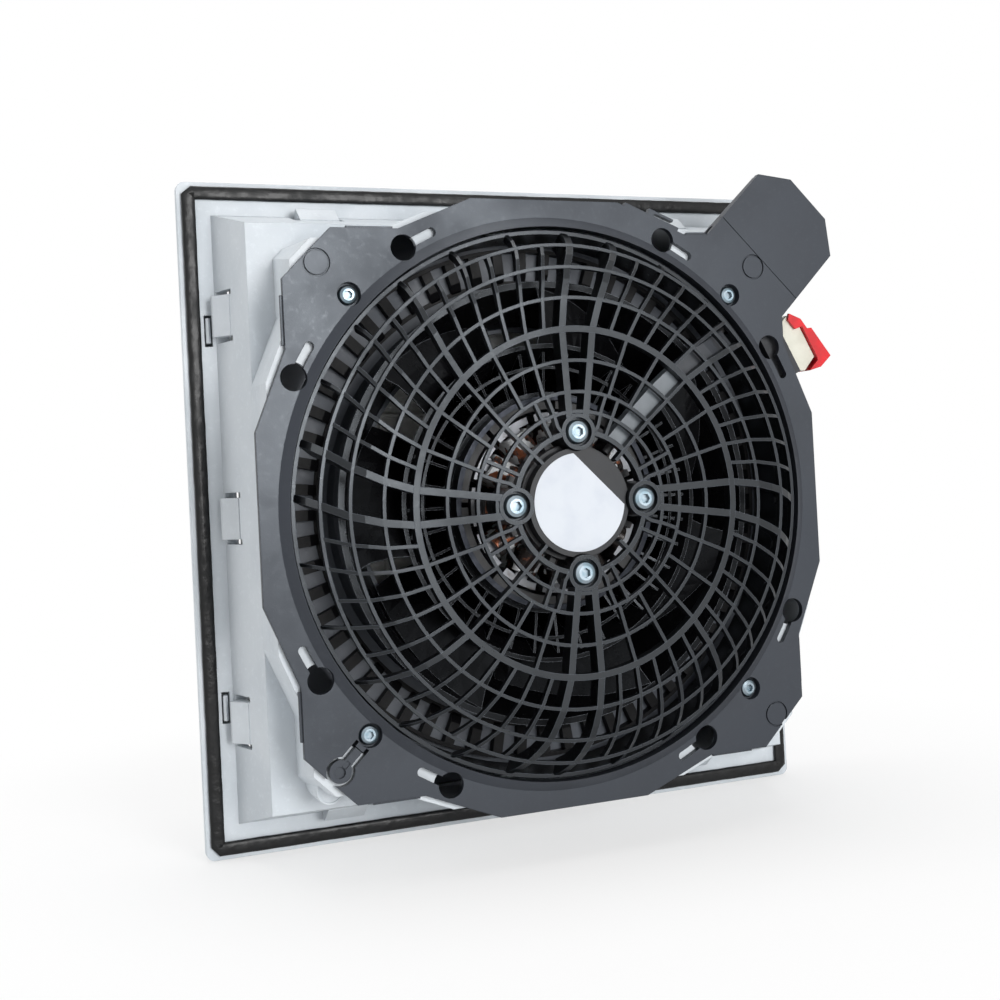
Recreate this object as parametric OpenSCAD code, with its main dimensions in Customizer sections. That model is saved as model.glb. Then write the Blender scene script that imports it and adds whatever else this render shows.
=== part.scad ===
// Enclosure fan-and-filter unit, seen from the fan side.
// The fan axis lies along Y, the fan side faces -Y and the louvre faces +Y, +Z is up.
// The origin is the centre of the gasket's sealing face, where the panel lies.
// Inside stand() the object lies on its louvre: local Z is the height towards the fan side.

/* [Flange and box] */
// How far the square front flange reaches past the cut-out, each side
flange_overlap = 15.5; // [12:0.5:20]
// Thickness of the flange
flange_thick = 4; // [3.5:0.5:5]
// Corner radius of the flange
flange_radius = 4; // [2:0.5:8]
// Side of the square cut-out in the panel
cutout_side = 292; // [290:0.5:293]
// Gap between the box and the edge of the cut-out, each side
cutout_clearance = 0.4; // [0.2:0.1:0.8]
// Height of the box's flat top above the sealing face
box_height = 31; // [28:0.5:34]
// How far each wall of the box leans in on its way up
box_draft = 8.5; // [7:0.5:9.5]
// Wall thickness of the housing
wall = 2.5; // [2:0.25:3]

/* [Gasket] */
// Height of the foam gasket
gasket_height = 2.5; // [2:0.25:4]
// Width of the foam gasket
gasket_width = 6.7; // [5:0.1:7]
// Distance of the gasket from the flange's edge
gasket_inset = 2; // [1.5:0.1:3]

/* [Panel clips] */
// Length of one clip along the wall
clip_length = 19.5; // [16:0.5:22]
// How far a clip stands out of the wall
clip_reach = 4.5; // [3:0.25:5]
// Height of a clip's tip end above the sealing face, the panel it holds
clip_grip = 2; // [1.5:0.25:3]
// Height of the clip's ramp
clip_ramp = 13; // [10:0.5:15]
// Width of the slit at either end of a clip
clip_slit = 2.5; // [2:0.25:3]

/* [Tower under the fan plate] */
// How far the tower's flats stand out past the box's top edge
tower_overhang = 0.6; // [0:0.1:1]
// Step from the tower's flats back to its ears
tower_ear_step = 13; // [12:0.5:15]
// Distance from the tower's flats to its sloping walls, measured from the axis
tower_slope_step = 12.5; // [10:0.5:14]
// How much is cut off the tower's corners, along the diagonal
tower_corner_cut = 0.9; // [0.5:0.1:5]
// How far the tower's corner faces lean in on their way up
corner_lean = 8.4; // [4:0.2:9]
// Gap between the tower's top and the fan plate
plate_gap = 0.3; // [0.25:0.05:0.5]

/* [Filter] */
// Side of the filter mat and its grid
filter_side = 278; // [270:1:279]
// Thickness of the filter mat
mat_thick = 8; // [6:0.5:8.5]
// Height of the grid's ribs
grid_rib_height = 4; // [3:0.5:5]
// Thickness of the grid's ribs
grid_rib = 1.6; // [1.2:0.1:2.2]
// Number of grid cells along a side
grid_cells = 12; // [8:1:14]

/* [Louvre] */
// Distance from the flange's edge to the louvre's
louvre_margin = 3; // [2.5:0.25:4]
// Depth of the louvre
louvre_depth = 21; // [18:0.5:24]
// How far each edge of the louvre leans in towards its front
louvre_draft = 7; // [5:0.5:9]
// Width of the louvre's frame around the slats
louvre_frame = 20; // [18:0.5:22]
// Number of slats
slat_count = 9; // [7:1:11]
// Thickness of a slat
slat_thick = 2; // [1.6:0.1:2.6]
// Tilt of the slats from the panel's normal
slat_tilt = 38; // [30:1:42]
// Radius of the louvre's hinge pins
hinge_pin_r = 1.5; // [1.2:0.1:1.8]
// Gap between a hinge pin and its eye
hinge_fit = 0.05; // [0.02:0.01:0.1]
// Gap between the louvre and the flange
louvre_gap = 0.5; // [0.4:0.05:0.8]

/* [Fan plate] */
// Height of the plate's face above the sealing face
plate_face = 66.2; // [64:0.2:70]
// Thickness of the plate
plate_thick = 3; // [2.5:0.25:3.5]
// How far the plate's flats stand out past the tower's
plate_overhang = 6.2; // [5:0.2:8]
// Half the length of each flat
plate_flat_half = 38; // [34:1:42]
// How far the plate's ears stand out past the tower's
ear_overhang = 4.3; // [3:0.1:5]
// Length of each ear's straight edge
ear_length = 31.5; // [29:0.5:34]
// Length of each ear's corner cut along either axis
ear_corner = 22.8; // [20:0.2:25]
// Width of the plate between a flat and the air opening
plate_band = 13; // [12:0.1:14]
// Rise of the rounded lip round the opening
lip_rise = 3.2; // [2:0.1:4]
// Distance of the plate screws from the air opening's edge
plate_screw_inset = 8.8; // [8.5:0.1:10]
// Radius of a plate screw's head
plate_screw_head_r = 4.5; // [4:0.1:4.8]
// Radius of the recess round a plate screw's head
plate_recess_r = 5.5; // [5.2:0.1:5.8]
// Distance of the round knock-out marks from the plate screws
mark_step = 20.2; // [19:0.1:21]
// Radius of the knock-out marks
mark_r = 6.3; // [5.8:0.1:6.6]

/* [Keyholes and claws] */
// Distance of the keyholes from the air opening's edge
keyhole_inset = 9.3; // [9:0.1:9.8]
// Radius of a keyhole's round end
keyhole_r = 6; // [5:0.1:6.2]
// Width of a keyhole's slot
keyhole_slot = 4.2; // [3.6:0.1:4.6]
// Angle from a keyhole's round end to the end of its slot
lock_turn = 6.4; // [5.5:0.1:6.8]
// Angles of the two keyholes of each quarter
keyhole_angles = [31, 63.8];
// Radius of a claw's neck under the plate
claw_neck_r = 1.7; // [1.4:0.1:1.8]
// Radius of a claw's head
claw_head_r = 3; // [2.8:0.1:3.1]
// Distance of the claws from the air opening's edge
claw_inset = 5; // [4.8:0.1:5.2]

/* [Terminal arm] */
// Half the width of the arm
arm_half = 29; // [27:0.5:30]
// Distance of the arm's end from the axis
arm_end = 209; // [205:0.5:212]
// Half the width of the arm's end face
arm_end_half = 14; // [12:0.5:16]
// Distance from the plate's corner cut to the seam of the arm's cover
seam_step = 0.2; // [0.1:0.1:2]
// Distance of the arm's root
arm_root = 150; // [149:0.5:152]
// Depth of the arm at its root
arm_depth = 10.5; // [9:0.5:11]
// Depth of the arm at its end
arm_tip_depth = 4.5; // [4.5:0.25:6]

/* [Guard grille] */
// How far the grille's flat crown stands above the plate's face
guard_rise = 23.6; // [22:0.1:26]
// Radius of the inner ring, where the bars begin to sweep
inner_ring = 50.7; // [49:0.1:53]
// Distance of the shoulder ring from the rim tube
shoulder_inset = 18.9; // [18:0.1:20]
// How far the shoulder ring lies below the crown
shoulder_drop = 2.7; // [2:0.1:4]
// Distance of the ring on the slope from the rim tube
slope_inset = 7.6; // [7:0.1:8.5]
// How far the ring on the slope lies below the crown
slope_drop = 10; // [9:0.1:11]
// Radius of the ring round the hub
hub_ring = 32.3; // [31.5:0.1:33]
// Thickness of the thin bars
thin_bar = 1.5; // [1.2:0.1:1.8]
// Height of the thin bars
thin_bar_height = 3; // [2.5:0.1:4]
// Thickness of the heavy struts
strut = 3.2; // [2.8:0.1:3.6]
// Height of the heavy struts
strut_height = 8; // [6:0.5:8.5]
// Thickness of the diagonal ribs
diagonal_rib = 2.6; // [2:0.1:3]
// Half the angle between the two struts of a pair
strut_half_angle = 5.5; // [5.2:0.1:5.8]
// Bars between two pairs of struts
bars_between = 5; // [5:2:7]
// Angle that the bars sweep between the inner ring and the rim
rim_sweep = 9.7; // [7:0.1:11]
// Gap between the rim tube and the plate's air opening
rim_gap = 1.2; // [1:0.1:1.6]
// Thickness of the rim tube
rim_thick = 1.8; // [1.5:0.1:2]
// How far the rim tube hangs below the plate's face
rim_depth = 30.2; // [26:0.2:32]
// Outer radius of a hub boss
boss_r = 8.4; // [8:0.1:8.6]
// Radius of the recess in a hub boss
boss_recess_r = 6.6; // [6.2:0.1:6.8]
// Radius of a hub screw's head
hub_screw_head_r = 5.6; // [5:0.1:5.9]

/* [Motor] */
// Radius of the motor flange's raised disc
motor_disc_r = 25.2; // [24.5:0.1:25.8]
// Radius of the label place
label_r = 22.7; // [22:0.1:23]
// Distance of the label's cut edge from the axis
label_cut = 14.5; // [13:0.5:17]
// Outer radius of the stator core
stator_r = 43; // [41:0.5:44]
// Number of stator teeth
stator_teeth = 12; // [9:1:12]
// Outer radius of the rotor can
can_r = 51; // [50:0.5:52]
// Radius of the shaft
shaft_r = 4; // [3.5:0.1:4.2]
// Running gap between the shaft and its bearings
shaft_fit = 0.03; // [0.02:0.01:0.08]
// Outer radius of a bearing
bearing_r = 11; // [10.5:0.1:11.5]
// Height of a bearing
bearing_height = 7; // [6:0.5:8]

/* [Impeller] */
// Number of blades
blade_count = 7; // [5:1:9]
// How far the hub stands out from the rotor can at the inlet
hub_wall = 6; // [5:0.5:8]
// How much wider the hub cone is at the outlet than at the inlet
hub_flare = 19; // [15:0.5:21]
// Gap between the inlet's throat and the shroud
shroud_gap = 0.5; // [0.4:0.1:1.5]
// How much wider the shroud is at the outlet than at the inlet
shroud_flare = 15; // [12:0.5:17]
// Height of the inlet edge
impeller_low = 21; // [20:0.5:23]
// Height of the outlet edge
impeller_high = 58; // [54:0.5:60]
// Angle that a blade wraps round the hub
blade_wrap = 42; // [30:1:50]
// Thickest part of a blade
blade_thick = 2.6; // [2:0.1:3.2]
// Ribs in the hub's open face
hub_ribs = 36; // [24:1:40]

/* [Inlet ring] */
// Radius of the inlet ring's throat
throat_r = 86; // [84:0.5:87]
// Number of ribs in the guide ring
guide_ribs = 60; // [40:1:66]
// Thickness of a rib in the guide ring
guide_rib = 5; // [3:0.5:6]

/* [Supply plug] */
// Direction of the plug from the axis
plug_angle = 27.7; // [27:0.1:28.4]
// Distance of the plug's inner face from the axis
plug_seat = 153; // [152:0.5:154]
// Width of the plug away from the plate
plug_width = 11.8; // [11:0.2:12.6]
// Length of the plug along the plate's edge
plug_length = 26; // [24:0.5:28]
// Height of the plug's face
plug_face = 60; // [58:0.5:61]
// Depth of the plug
plug_depth = 14; // [12:0.5:15]
// Gap between the plug's nose and its socket
plug_fit = 0.3; // [0.2:0.05:0.4]

/* [Hidden] */
$fn = 96;
eps = 0.01;
end_relief = 0.06;                                // how much wider a slot's round ends are
seat_gap = 0.3;                                   // clearance between pieces of different bodies
flange_back = -gasket_height;                     // height of the flange's face under the gasket
flange_front = flange_back - flange_thick;
flange_side = cutout_side + 2 * flange_overlap;
louvre_side = flange_side - 2 * louvre_margin;    // side of the louvre at its back edge
box_base = cutout_side - 2 * cutout_clearance;    // side of the box at its foot
box_wall_height = box_height - flange_back;
box_top = box_base - 2 * box_draft * box_wall_height / box_height;
box_lean = atan((box_base - box_top) / 2 / box_wall_height);
tower_flat = box_top / 2 + tower_overhang;        // half the distance between the tower's flats
tower_ear = tower_flat - tower_ear_step;
tower_slope = tower_flat + tower_slope_step;
tower_corner = tower_ear * sqrt(2) - tower_corner_cut;
plate_flat = tower_flat + plate_overhang;
plate_ear = tower_ear + ear_overhang;
ear_cut = plate_ear - ear_corner;
ear_start = ear_cut - ear_length;
opening_radius = plate_flat - plate_band;
plate_under = plate_face - plate_thick;
tower_top = plate_under - plate_gap;
recess_side = filter_side + 2;                    // side of the filter's recess
grid_top = 10;
grid_bottom = grid_top - grid_rib_height;
mat_bottom = grid_bottom - seat_gap - mat_thick;
rim_outer = opening_radius - rim_gap;
rim_inner = rim_outer - rim_thick;
rim_bottom = plate_face - rim_depth;
crown = plate_face + guard_rise;                  // height of the guard's flat crown
shoulder_ring = rim_inner - shoulder_inset;
shoulder_height = crown - shoulder_drop;
slope_ring = rim_inner - slope_inset;
slope_height = crown - slope_drop;
ring_pitch = (shoulder_ring - inner_ring) / 4;
crown_rings = [inner_ring, inner_ring + ring_pitch, inner_ring + 3 * ring_pitch];
heavy_ring = inner_ring + 2 * ring_pitch;
tower_opening = opening_radius + 0.6;             // the rim tube hangs in it
inlet_floor = box_height - wall - 0.02;           // top of the inlet plate, under the box's flat top
inlet_rib_top = inlet_floor + 5.2;
inlet_plate_side = box_top - 2 * wall - 3;
hinge_x = louvre_side / 2 - 3.3;
hinge_h = flange_front - louvre_gap - 3.3;
knuckle_z = 121;
knuckle_length = 6;
pin_length = 15;
louvre_back = flange_front - louvre_gap;
louvre_front = louvre_back - louvre_depth;
latch_x = box_base / 2 + 3.6;
latch_z = 90;
boss_top = crown - 2.8;
lug_top = crown - 10;
lug_thick = 5;
motor_disc_top = crown - 2.7;
recess_floor = plate_under - 0.8;
plate_screw_circle = opening_radius + plate_screw_inset;
keyhole_circle = opening_radius + keyhole_inset;
claw_circle = opening_radius + claw_inset;
plate_boss_r = plate_recess_r + 2;
claw_angles = [for (k = [1:3]) 90 * k + 21];
arm_top = plate_face;
mark_circle = plate_screw_circle + mark_step;
arm_seam = (plate_ear + ear_cut) / sqrt(2) + seam_step;
pad_side = 7;                                     // how far the corner's pad lies beside the diagonal
tongue_root = mark_circle - 12.5;
tongue_head_r = mark_r - 1.1;
tongue_half = 2.3;
tongue_slit = 1.6;
rib_depth = thin_bar_height + 2;
duct_start = 33.5;
duct_end = rim_inner - 5.5;
duct_depth = 6;
duct_wall = 1.4;
duct_right = 1.5;                                 // edges of the duct beside the diagonal rib's middle
duct_left = 8.6;
lead_r = 1.9;
lead_room = lead_r + 0.3;                         // room kept round the middle of the lead
lead_sides = 12;
lead_drop = rib_depth + duct_wall + lead_room + 0.2;    // how far the lead lies below the guard's dome
lug_half = 8;                                     // half the room that a lug takes along the rim
hub_inlet_r = can_r + hub_wall;
hub_outlet_r = hub_inlet_r + hub_flare;
throat_wall = 1.5;
shroud_inlet_r = throat_r + throat_wall + shroud_gap;
shroud_outlet_r = shroud_inlet_r + shroud_flare;
lever_pin_r = 1.35;
lever_pin_x = plug_width - 2;
lever_pin_y = plug_length / 2 - 2.4;

// Stands the object up: local X stays X, local Y becomes Z and local Z becomes -Y.
module stand() {
    rotate([90, 0, 0]) children();
}

module quarter_turns() {
    for (k = [0:3]) rotate([0, 0, 90 * k]) children();
}

// Copies the children to one radius at each of the given angles.
module around(angles, radius) {
    for (a = angles) rotate([0, 0, a]) translate([radius, 0, 0]) children();
}

module rounded_square(side, radius) {
    square([side - 2 * radius, side], center = true);
    square([side, side - 2 * radius], center = true);
    for (x = [-1, 1], y = [-1, 1])
        translate([x * (side / 2 - radius), y * (side / 2 - radius)]) circle(radius);
}

module square_ring(outer, inner, height) {
    linear_extrude(height) difference() {
        square(outer, center = true);
        square(inner, center = true);
    }
}

// A square block whose four sides lean in evenly from its foot to its top.
module frustum(foot, top, height) {
    profile = [[-foot / 2, 0], [foot / 2, 0], [top / 2, height], [-top / 2, height]];
    intersection() {
        rotate([90, 0, 0]) linear_extrude(2 * foot, center = true) polygon(profile);
        rotate([90, 0, 90]) linear_extrude(2 * foot, center = true) polygon(profile);
    }
}

module tube(outer, inner, height) {
    difference() {
        cylinder(r = outer, h = height);
        translate([0, 0, -1]) cylinder(r = inner, h = height + 2);
    }
}

// An arc-shaped slot from angle 0 clockwise to -turn, with round ends a little wider than the slot.
module arc_slot(radius, half_width, turn, height) {
    rotate([0, 0, -turn]) rotate_extrude(angle = turn)
        translate([radius - half_width, 0]) square([2 * half_width, height]);
    around([0, -turn], radius) cylinder(r = half_width + end_relief, h = height, $fn = 48);
}

function turned(p, a) = [p[0] * cos(a) - p[1] * sin(a), p[0] * sin(a) + p[1] * cos(a)];
function plate_quarter() = [
    [plate_flat, plate_flat_half], [plate_ear, ear_start], [plate_ear, ear_cut],
    [ear_cut, plate_ear], [ear_start, plate_ear], [plate_flat_half, plate_flat]];
function plate_outline() = [for (k = [0:3], p = plate_quarter()) turned(p, 90 * k)];

// Corners of one quarter of the tower: flat, slope, ear, and the same mirrored about 45 degrees.
slope_dir = 22.5;
function slope_at_x(x) = (tower_slope - x * cos(slope_dir)) / sin(slope_dir);
function tower_quarter() = [
    [tower_flat, slope_at_x(tower_flat)], [tower_ear, slope_at_x(tower_ear)], [tower_ear, tower_ear],
    [slope_at_x(tower_ear), tower_ear], [slope_at_x(tower_flat), tower_flat]];
function tower_outline() = [for (k = [0:3], p = tower_quarter()) turned(p, 90 * k)];

// Grows a counter-clockwise outline outwards by d, keeping its corners sharp.
function edge_normal(p, q) = let (d = (q - p) / norm(q - p)) [d[1], -d[0]];
function grown(pts, d) = [for (i = [0:len(pts) - 1])
    let (n = len(pts), q = pts[i], a = edge_normal(pts[(i + n - 1) % n], q), b = edge_normal(q,
        pts[(i + 1) % n]))
    q + d * (a + b) / (1 + a * b)];

// Housing

module clip_places() {
    for (k = [0:3]) rotate([0, 0, 90 * k])
        for (y = [-96, 0, 96]) translate([box_base / 2, y, flange_back]) rotate([0, -box_lean, 0]) children();
}

module base_shell() {
    translate([0, 0, flange_front]) linear_extrude(flange_thick) rounded_square(flange_side, flange_radius);
    translate([0, 0, flange_back]) frustum(box_base, box_top, box_wall_height);
    tower_body(0, box_height - eps, tower_top);
    for (z = [-1, 1]) translate([hinge_x, z * knuckle_z, hinge_h]) hinge_knuckle();
    // round pad on the corner under the latch
    rotate([0, 0, 225]) translate([tower_corner - 6.5, pad_side, box_height - eps]) difference() {
        cylinder(r = mark_r, h = 20);
        translate([0, 0, 19.4]) cylinder(r = mark_r - 0.9, h = 1);
    }
}

// The tower's solid shape, or its hollow when drawn in by the wall.
module tower_body(inset, low, high) {
    difference() {
        translate([0, 0, low]) linear_extrude(high - low) polygon(grown(tower_outline(), -inset));
        for (k = [0:3]) rotate([90, 0, 90 * k + 45]) linear_extrude(120, center = true)
            polygon([[tower_corner - inset, box_height], [tower_corner + 40, box_height - 20],
                [tower_corner + 40, tower_top + 20], [tower_corner - corner_lean - inset, tower_top],
                [tower_corner - corner_lean - inset, tower_top + 20], [tower_corner - inset,
                    box_height - 20]]);
    }
}

module hinge_knuckle() {
    rotate([90, 0, 0]) cylinder(r = 3, h = knuckle_length, center = true);
    translate([-3, -knuckle_length / 2, 0]) cube([6, knuckle_length, flange_front - hinge_h + eps]);
}

module base_hollow() {
    lean = (box_base - box_top) / box_wall_height;
    inner_foot = box_base - 2 * wall - lean * (grid_top - flange_back);
    translate([0, 0, flange_front - 1])
        linear_extrude(grid_top - flange_front + 1) square(recess_side, center = true);
    translate([0, 0, grid_top - 1]) frustum(inner_foot - 6, box_top - 2 * wall - 2,
        box_height - wall - grid_top + 1);
    tower_body(wall, box_height - wall - 1, tower_top - wall);
    translate([0, 0, tower_top - wall - 1]) cylinder(r = tower_opening, h = wall + 2);
}

module base_frame() color("gainsboro") stand() difference() {
    base_shell();
    base_hollow();
    // room for the guard's lugs as the fan turns
    for (k = [0:3]) rotate([0, 0, 90 * k + 45]) translate([0, 0, tower_top - wall - 1])
        arc_slot(plate_screw_circle - 3, plate_boss_r + 4, lock_turn + 2.4, wall + 2);
    // slots for the claws, with a round way in
    for (a = claw_angles) rotate([0, 0, a]) translate([0, 0, tower_top - wall - 1]) {
        arc_slot(claw_circle, claw_neck_r + 0.4, lock_turn, wall + 2);
        rotate([0, 0, -lock_turn]) translate([claw_circle, 0, 0])
            cylinder(r = claw_head_r + 0.4, h = wall + 2, $fn = 48);
    }
    // windows under the keyholes
    for (k = [0:3]) around(keyhole_angles + [90 * k, 90 * k], keyhole_circle)
        translate([0, 0, tower_top - wall - 1]) cylinder(r = keyhole_r + 1.3, h = wall + 2, $fn = 64);
    // groove for the latch tongue's peg
    rotate([0, 0, 225]) translate([0, 0, tower_top - 1.6]) arc_slot(mark_circle, 3.6, lock_turn + 0.4, 3);
    // room for the terminal arm and the socket
    rotate([0, 0, 45]) translate([arm_root - 8, -arm_half - 22, tower_top - arm_depth + plate_thick - 1])
        cube([80, 2 * arm_half + 24, 40]);
    rotate([0, 0, plug_angle]) translate([134, -plug_length / 2 - 20, plug_face - plug_depth - 2])
        cube([60, plug_length + 24, 60]);
    // gaps round the panel clips
    clip_places() clip_window();
    // latch slots and hinge eyes
    for (y = [-1, 1]) translate([-latch_x, y * latch_z, flange_front - 1])
        linear_extrude(flange_thick + 2) square([3.8, 15], center = true);
    for (y = [-1, 1]) translate([hinge_x, y * knuckle_z, hinge_h]) rotate([90, 0, 0])
        cylinder(r = hinge_pin_r + hinge_fit, h = knuckle_length + 2, center = true, $fn = 48);
}

module clip_window() {
    for (y = [-1, 1]) translate([-wall - 2, y * (clip_length + clip_slit) / 2 - clip_slit / 2, 1.5])
        cube([wall + 8, clip_slit, clip_ramp + 3]);
    translate([-wall - 2, -clip_length / 2 - clip_slit, 1.5]) cube([wall + 8,
        clip_length + 2 * clip_slit, 1.2]);
}

module panel_clips() color("whitesmoke") stand() clip_places() {
    translate([0, clip_length / 2, 0]) rotate([90, 0, 0]) linear_extrude(clip_length)
        polygon([[0, clip_grip + 2.2], [clip_reach, clip_grip + 3.4], [clip_reach, clip_grip + 4.8],
            [0.4, clip_ramp + 3], [0, clip_ramp + 3]]);
}

module gasket() color("dimgray") stand() translate([0, 0, flange_back]) linear_extrude(gasket_height)
    difference() {
        rounded_square(flange_side - 2 * gasket_inset, flange_radius);
        rounded_square(flange_side - 2 * gasket_inset - 2 * gasket_width, flange_radius);
    }

module filter_grid() color("white") stand() translate([0, 0, grid_bottom]) {
    pitch = (filter_side - grid_rib) / grid_cells;
    square_ring(filter_side, filter_side - 8, grid_rib_height);
    for (i = [1:grid_cells - 1]) {
        translate([-filter_side / 2 + i * pitch, -filter_side / 2 + 1, 0])
            cube([grid_rib, filter_side - 2, grid_rib_height]);
        translate([-filter_side / 2 + 1, -filter_side / 2 + i * pitch, 0])
            cube([filter_side - 2, grid_rib, grid_rib_height]);
    }
}

module filter_mat() color("snow") stand() translate([0, 0, mat_bottom])
    linear_extrude(mat_thick) square(filter_side, center = true);

// Light plate that leads the air from the filter into the impeller.
module inlet_ring() color("lightgray") stand() {
    top = inlet_floor;
    wide = throat_r + 20;
    rotate_extrude() polygon([
        [throat_r - 0.5, impeller_low - 0.6], [throat_r - 0.5, top - 11], [throat_r + 1, top - 12.6],
        [throat_r + 4, top - 13.4], [throat_r + 12, top - 13.4], [wide - 3, top - 11.4], [wide - 0.8,
            top - 7.4],
        [wide - 0.5, top - 2], [wide + 6, top - 2], [wide + 6, top], [wide - 2.5, top], [wide - 2.7,
            top - 6.9],
        [wide - 4.3, top - 10], [throat_r + 11.5, top - 11.4], [throat_r + 4.5, top - 11.4],
        [throat_r + 2.6, top - 11], [throat_r + throat_wall, top - 9.8],
        [throat_r + throat_wall, impeller_low - 0.6]]);
    translate([0, 0, top - 2]) linear_extrude(2) difference() {
        intersection() {
            square(inlet_plate_side, center = true);
            rotate([0, 0, 45]) square(2 * 170, center = true);
        }
        circle(wide + 1);
    }
}

// Dark ring of ribs on the inlet plate, under the guard's rim, open between its ribs.
module guide_ring() color("dimgray") stand() translate([0, 0, inlet_floor]) {
    outer = rim_inner - 1.6;
    high = inlet_rib_top - inlet_floor;
    tube(outer, outer - 1.8, high);
    tube(outer - 15.4, outer - 17.6, 1);
    for (i = [0:guide_ribs - 1]) rotate([0, 0, i * 360 / guide_ribs]) translate([0, guide_rib / 2, 0])
        rotate([90, 0, 0]) linear_extrude(guide_rib)
            polygon([[outer - 17, 0], [outer - 1, 0], [outer - 1, high - 0.4],
                [outer - 12, high - 1], [outer - 15.6, high - 2.6]]);
}

// Louvre

module louvre_body() {
    translate([0, 0, louvre_back]) mirror([0, 0, 1])
        frustum(louvre_side, louvre_side - 2 * louvre_draft, louvre_depth);
}

module slats() {
    inner = louvre_side - 2 * louvre_frame;
    pitch = inner / slat_count;
    depth = louvre_depth - 4;
    for (i = [0:slat_count - 1])
        translate([0, -inner / 2 + (i + 0.5) * pitch, louvre_back - louvre_depth / 2 - 1])
            rotate([0, 90, 0]) linear_extrude(inner + 2, center = true) slat_profile(depth);
}

// A slat that slopes down and outwards, with a drip edge at its front.
module slat_profile(depth) {
    rise = depth * tan(slat_tilt);
    polygon([[-depth / 2, rise / 2 - slat_thick], [-depth / 2, rise / 2], [depth / 2 - 3, -rise / 2 + 1.5],
        [depth / 2, -rise / 2], [depth / 2, -rise / 2 - 4], [depth / 2 - 1.6, -rise / 2 - 4],
        [depth / 2 - 1.8, -rise / 2 - slat_thick + 0.6]]);
}

module louvre_cover() color("whitesmoke") stand() {
    difference() {
        union() {
            difference() {
                louvre_body();
                // hollow back and the window for the slats
                translate([0, 0, louvre_back + 1]) mirror([0, 0, 1])
                    frustum(louvre_side - 5, louvre_side - 2 * louvre_draft - 2, louvre_depth - 1.5);
                translate([0, 0, louvre_front - 1]) linear_extrude(louvre_depth + 2)
                    square(louvre_side - 2 * louvre_frame, center = true);
            }
            // inner wall round the window
            translate([0, 0, louvre_front + 0.5]) square_ring(louvre_side - 2 * louvre_frame + 4,
                louvre_side - 2 * louvre_frame, louvre_depth - 0.5);
            slats();
            for (x = [-1, 1]) translate([x * 48 - 1, -louvre_side / 2 + louvre_frame, louvre_back - 5])
                cube([2, louvre_side - 2 * louvre_frame, 4]);
            // hinge bosses on either side of each knuckle
            for (y = [-1, 1], s = [-1, 1]) translate([hinge_x, y * knuckle_z + s * 6, hinge_h])
                rotate([90, 0, 0]) cylinder(r = 3.2, h = 4, center = true);
        }
        // rounded hinge edge, clear of the flange when the louvre swings
        difference() {
            translate([hinge_x, -louvre_side, hinge_h]) cube([10, 2 * louvre_side, 10]);
            translate([hinge_x, 0, hinge_h]) rotate([90, 0, 0]) cylinder(r = 3.3, h = 3 * louvre_side,
                center = true);
        }
        // notches for the knuckles
        for (y = [-1, 1]) translate([hinge_x - 5, y * knuckle_z - knuckle_length / 2 - 0.6, hinge_h - 4.5])
            cube([12, knuckle_length + 1.2, 12]);
        for (y = [-1, 1]) translate([hinge_x, y * knuckle_z, hinge_h]) rotate([90, 0, 0])
            cylinder(r = hinge_pin_r, h = pin_length + 1, center = true, $fn = 48);
        // finger hollow in the free edge
        translate([-louvre_side / 2 - 6, 0, louvre_front + 4]) rotate([90, 0, 0])
            cylinder(r = 11, h = 46, center = true);
    }
    for (y = [-1, 1]) translate([-latch_x, y * latch_z, 0]) latch_hook();
}

module latch_hook() {
    low = louvre_front + 1;
    translate([0, 6, 0]) rotate([90, 0, 0]) linear_extrude(12)
        polygon([[-0.9, low], [0.9, low], [0.9, flange_back + 1], [-0.2, flange_back + 2.2],
            [-1.4, flange_back + 1.3], [-1.4, flange_back + 0.8], [-0.9, flange_back + 0.2]]);
}

module louvre_hinge_pins() color("silver") stand()
    for (y = [-1, 1]) translate([hinge_x, y * knuckle_z, hinge_h]) rotate([90, 0, 0])
        cylinder(r = hinge_pin_r, h = pin_length, center = true, $fn = 48);

// Fan plate

module plate_lip() {
    points = [for (i = [0:5]) let (a = 90 * i / 5)
        [opening_radius + (1 - cos(a)) * 4.6 + 0.0, plate_face + lip_rise * cos(a)]];
    rotate_extrude($fn = 180) polygon(concat([[opening_radius, plate_under]], points,
        [[opening_radius + 5, plate_face - 0.5], [opening_radius + 5, plate_under]]));
}

module arm_plan(from, to) {
    polygon([[from, -arm_half], [to, -arm_half], [to, arm_half], [from, arm_half]]);
}

module keyhole() {
    cylinder(r = keyhole_r, h = 20, $fn = 64);
}

// Thin finger that runs along the plate's slope beside the terminal arm, free at its far end.
module edge_finger() {
    translate([plate_flat_half, plate_flat, plate_under]) rotate([0, 0, -slope_dir]) {
        translate([4, -1, 0]) cube([31, 2.8, plate_thick]);
        translate([17, -1, 0]) cube([3.5, 5.4, plate_thick]);
        translate([17, 3.1, 0]) cube([14, 1.3, plate_thick]);
    }
}

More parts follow.
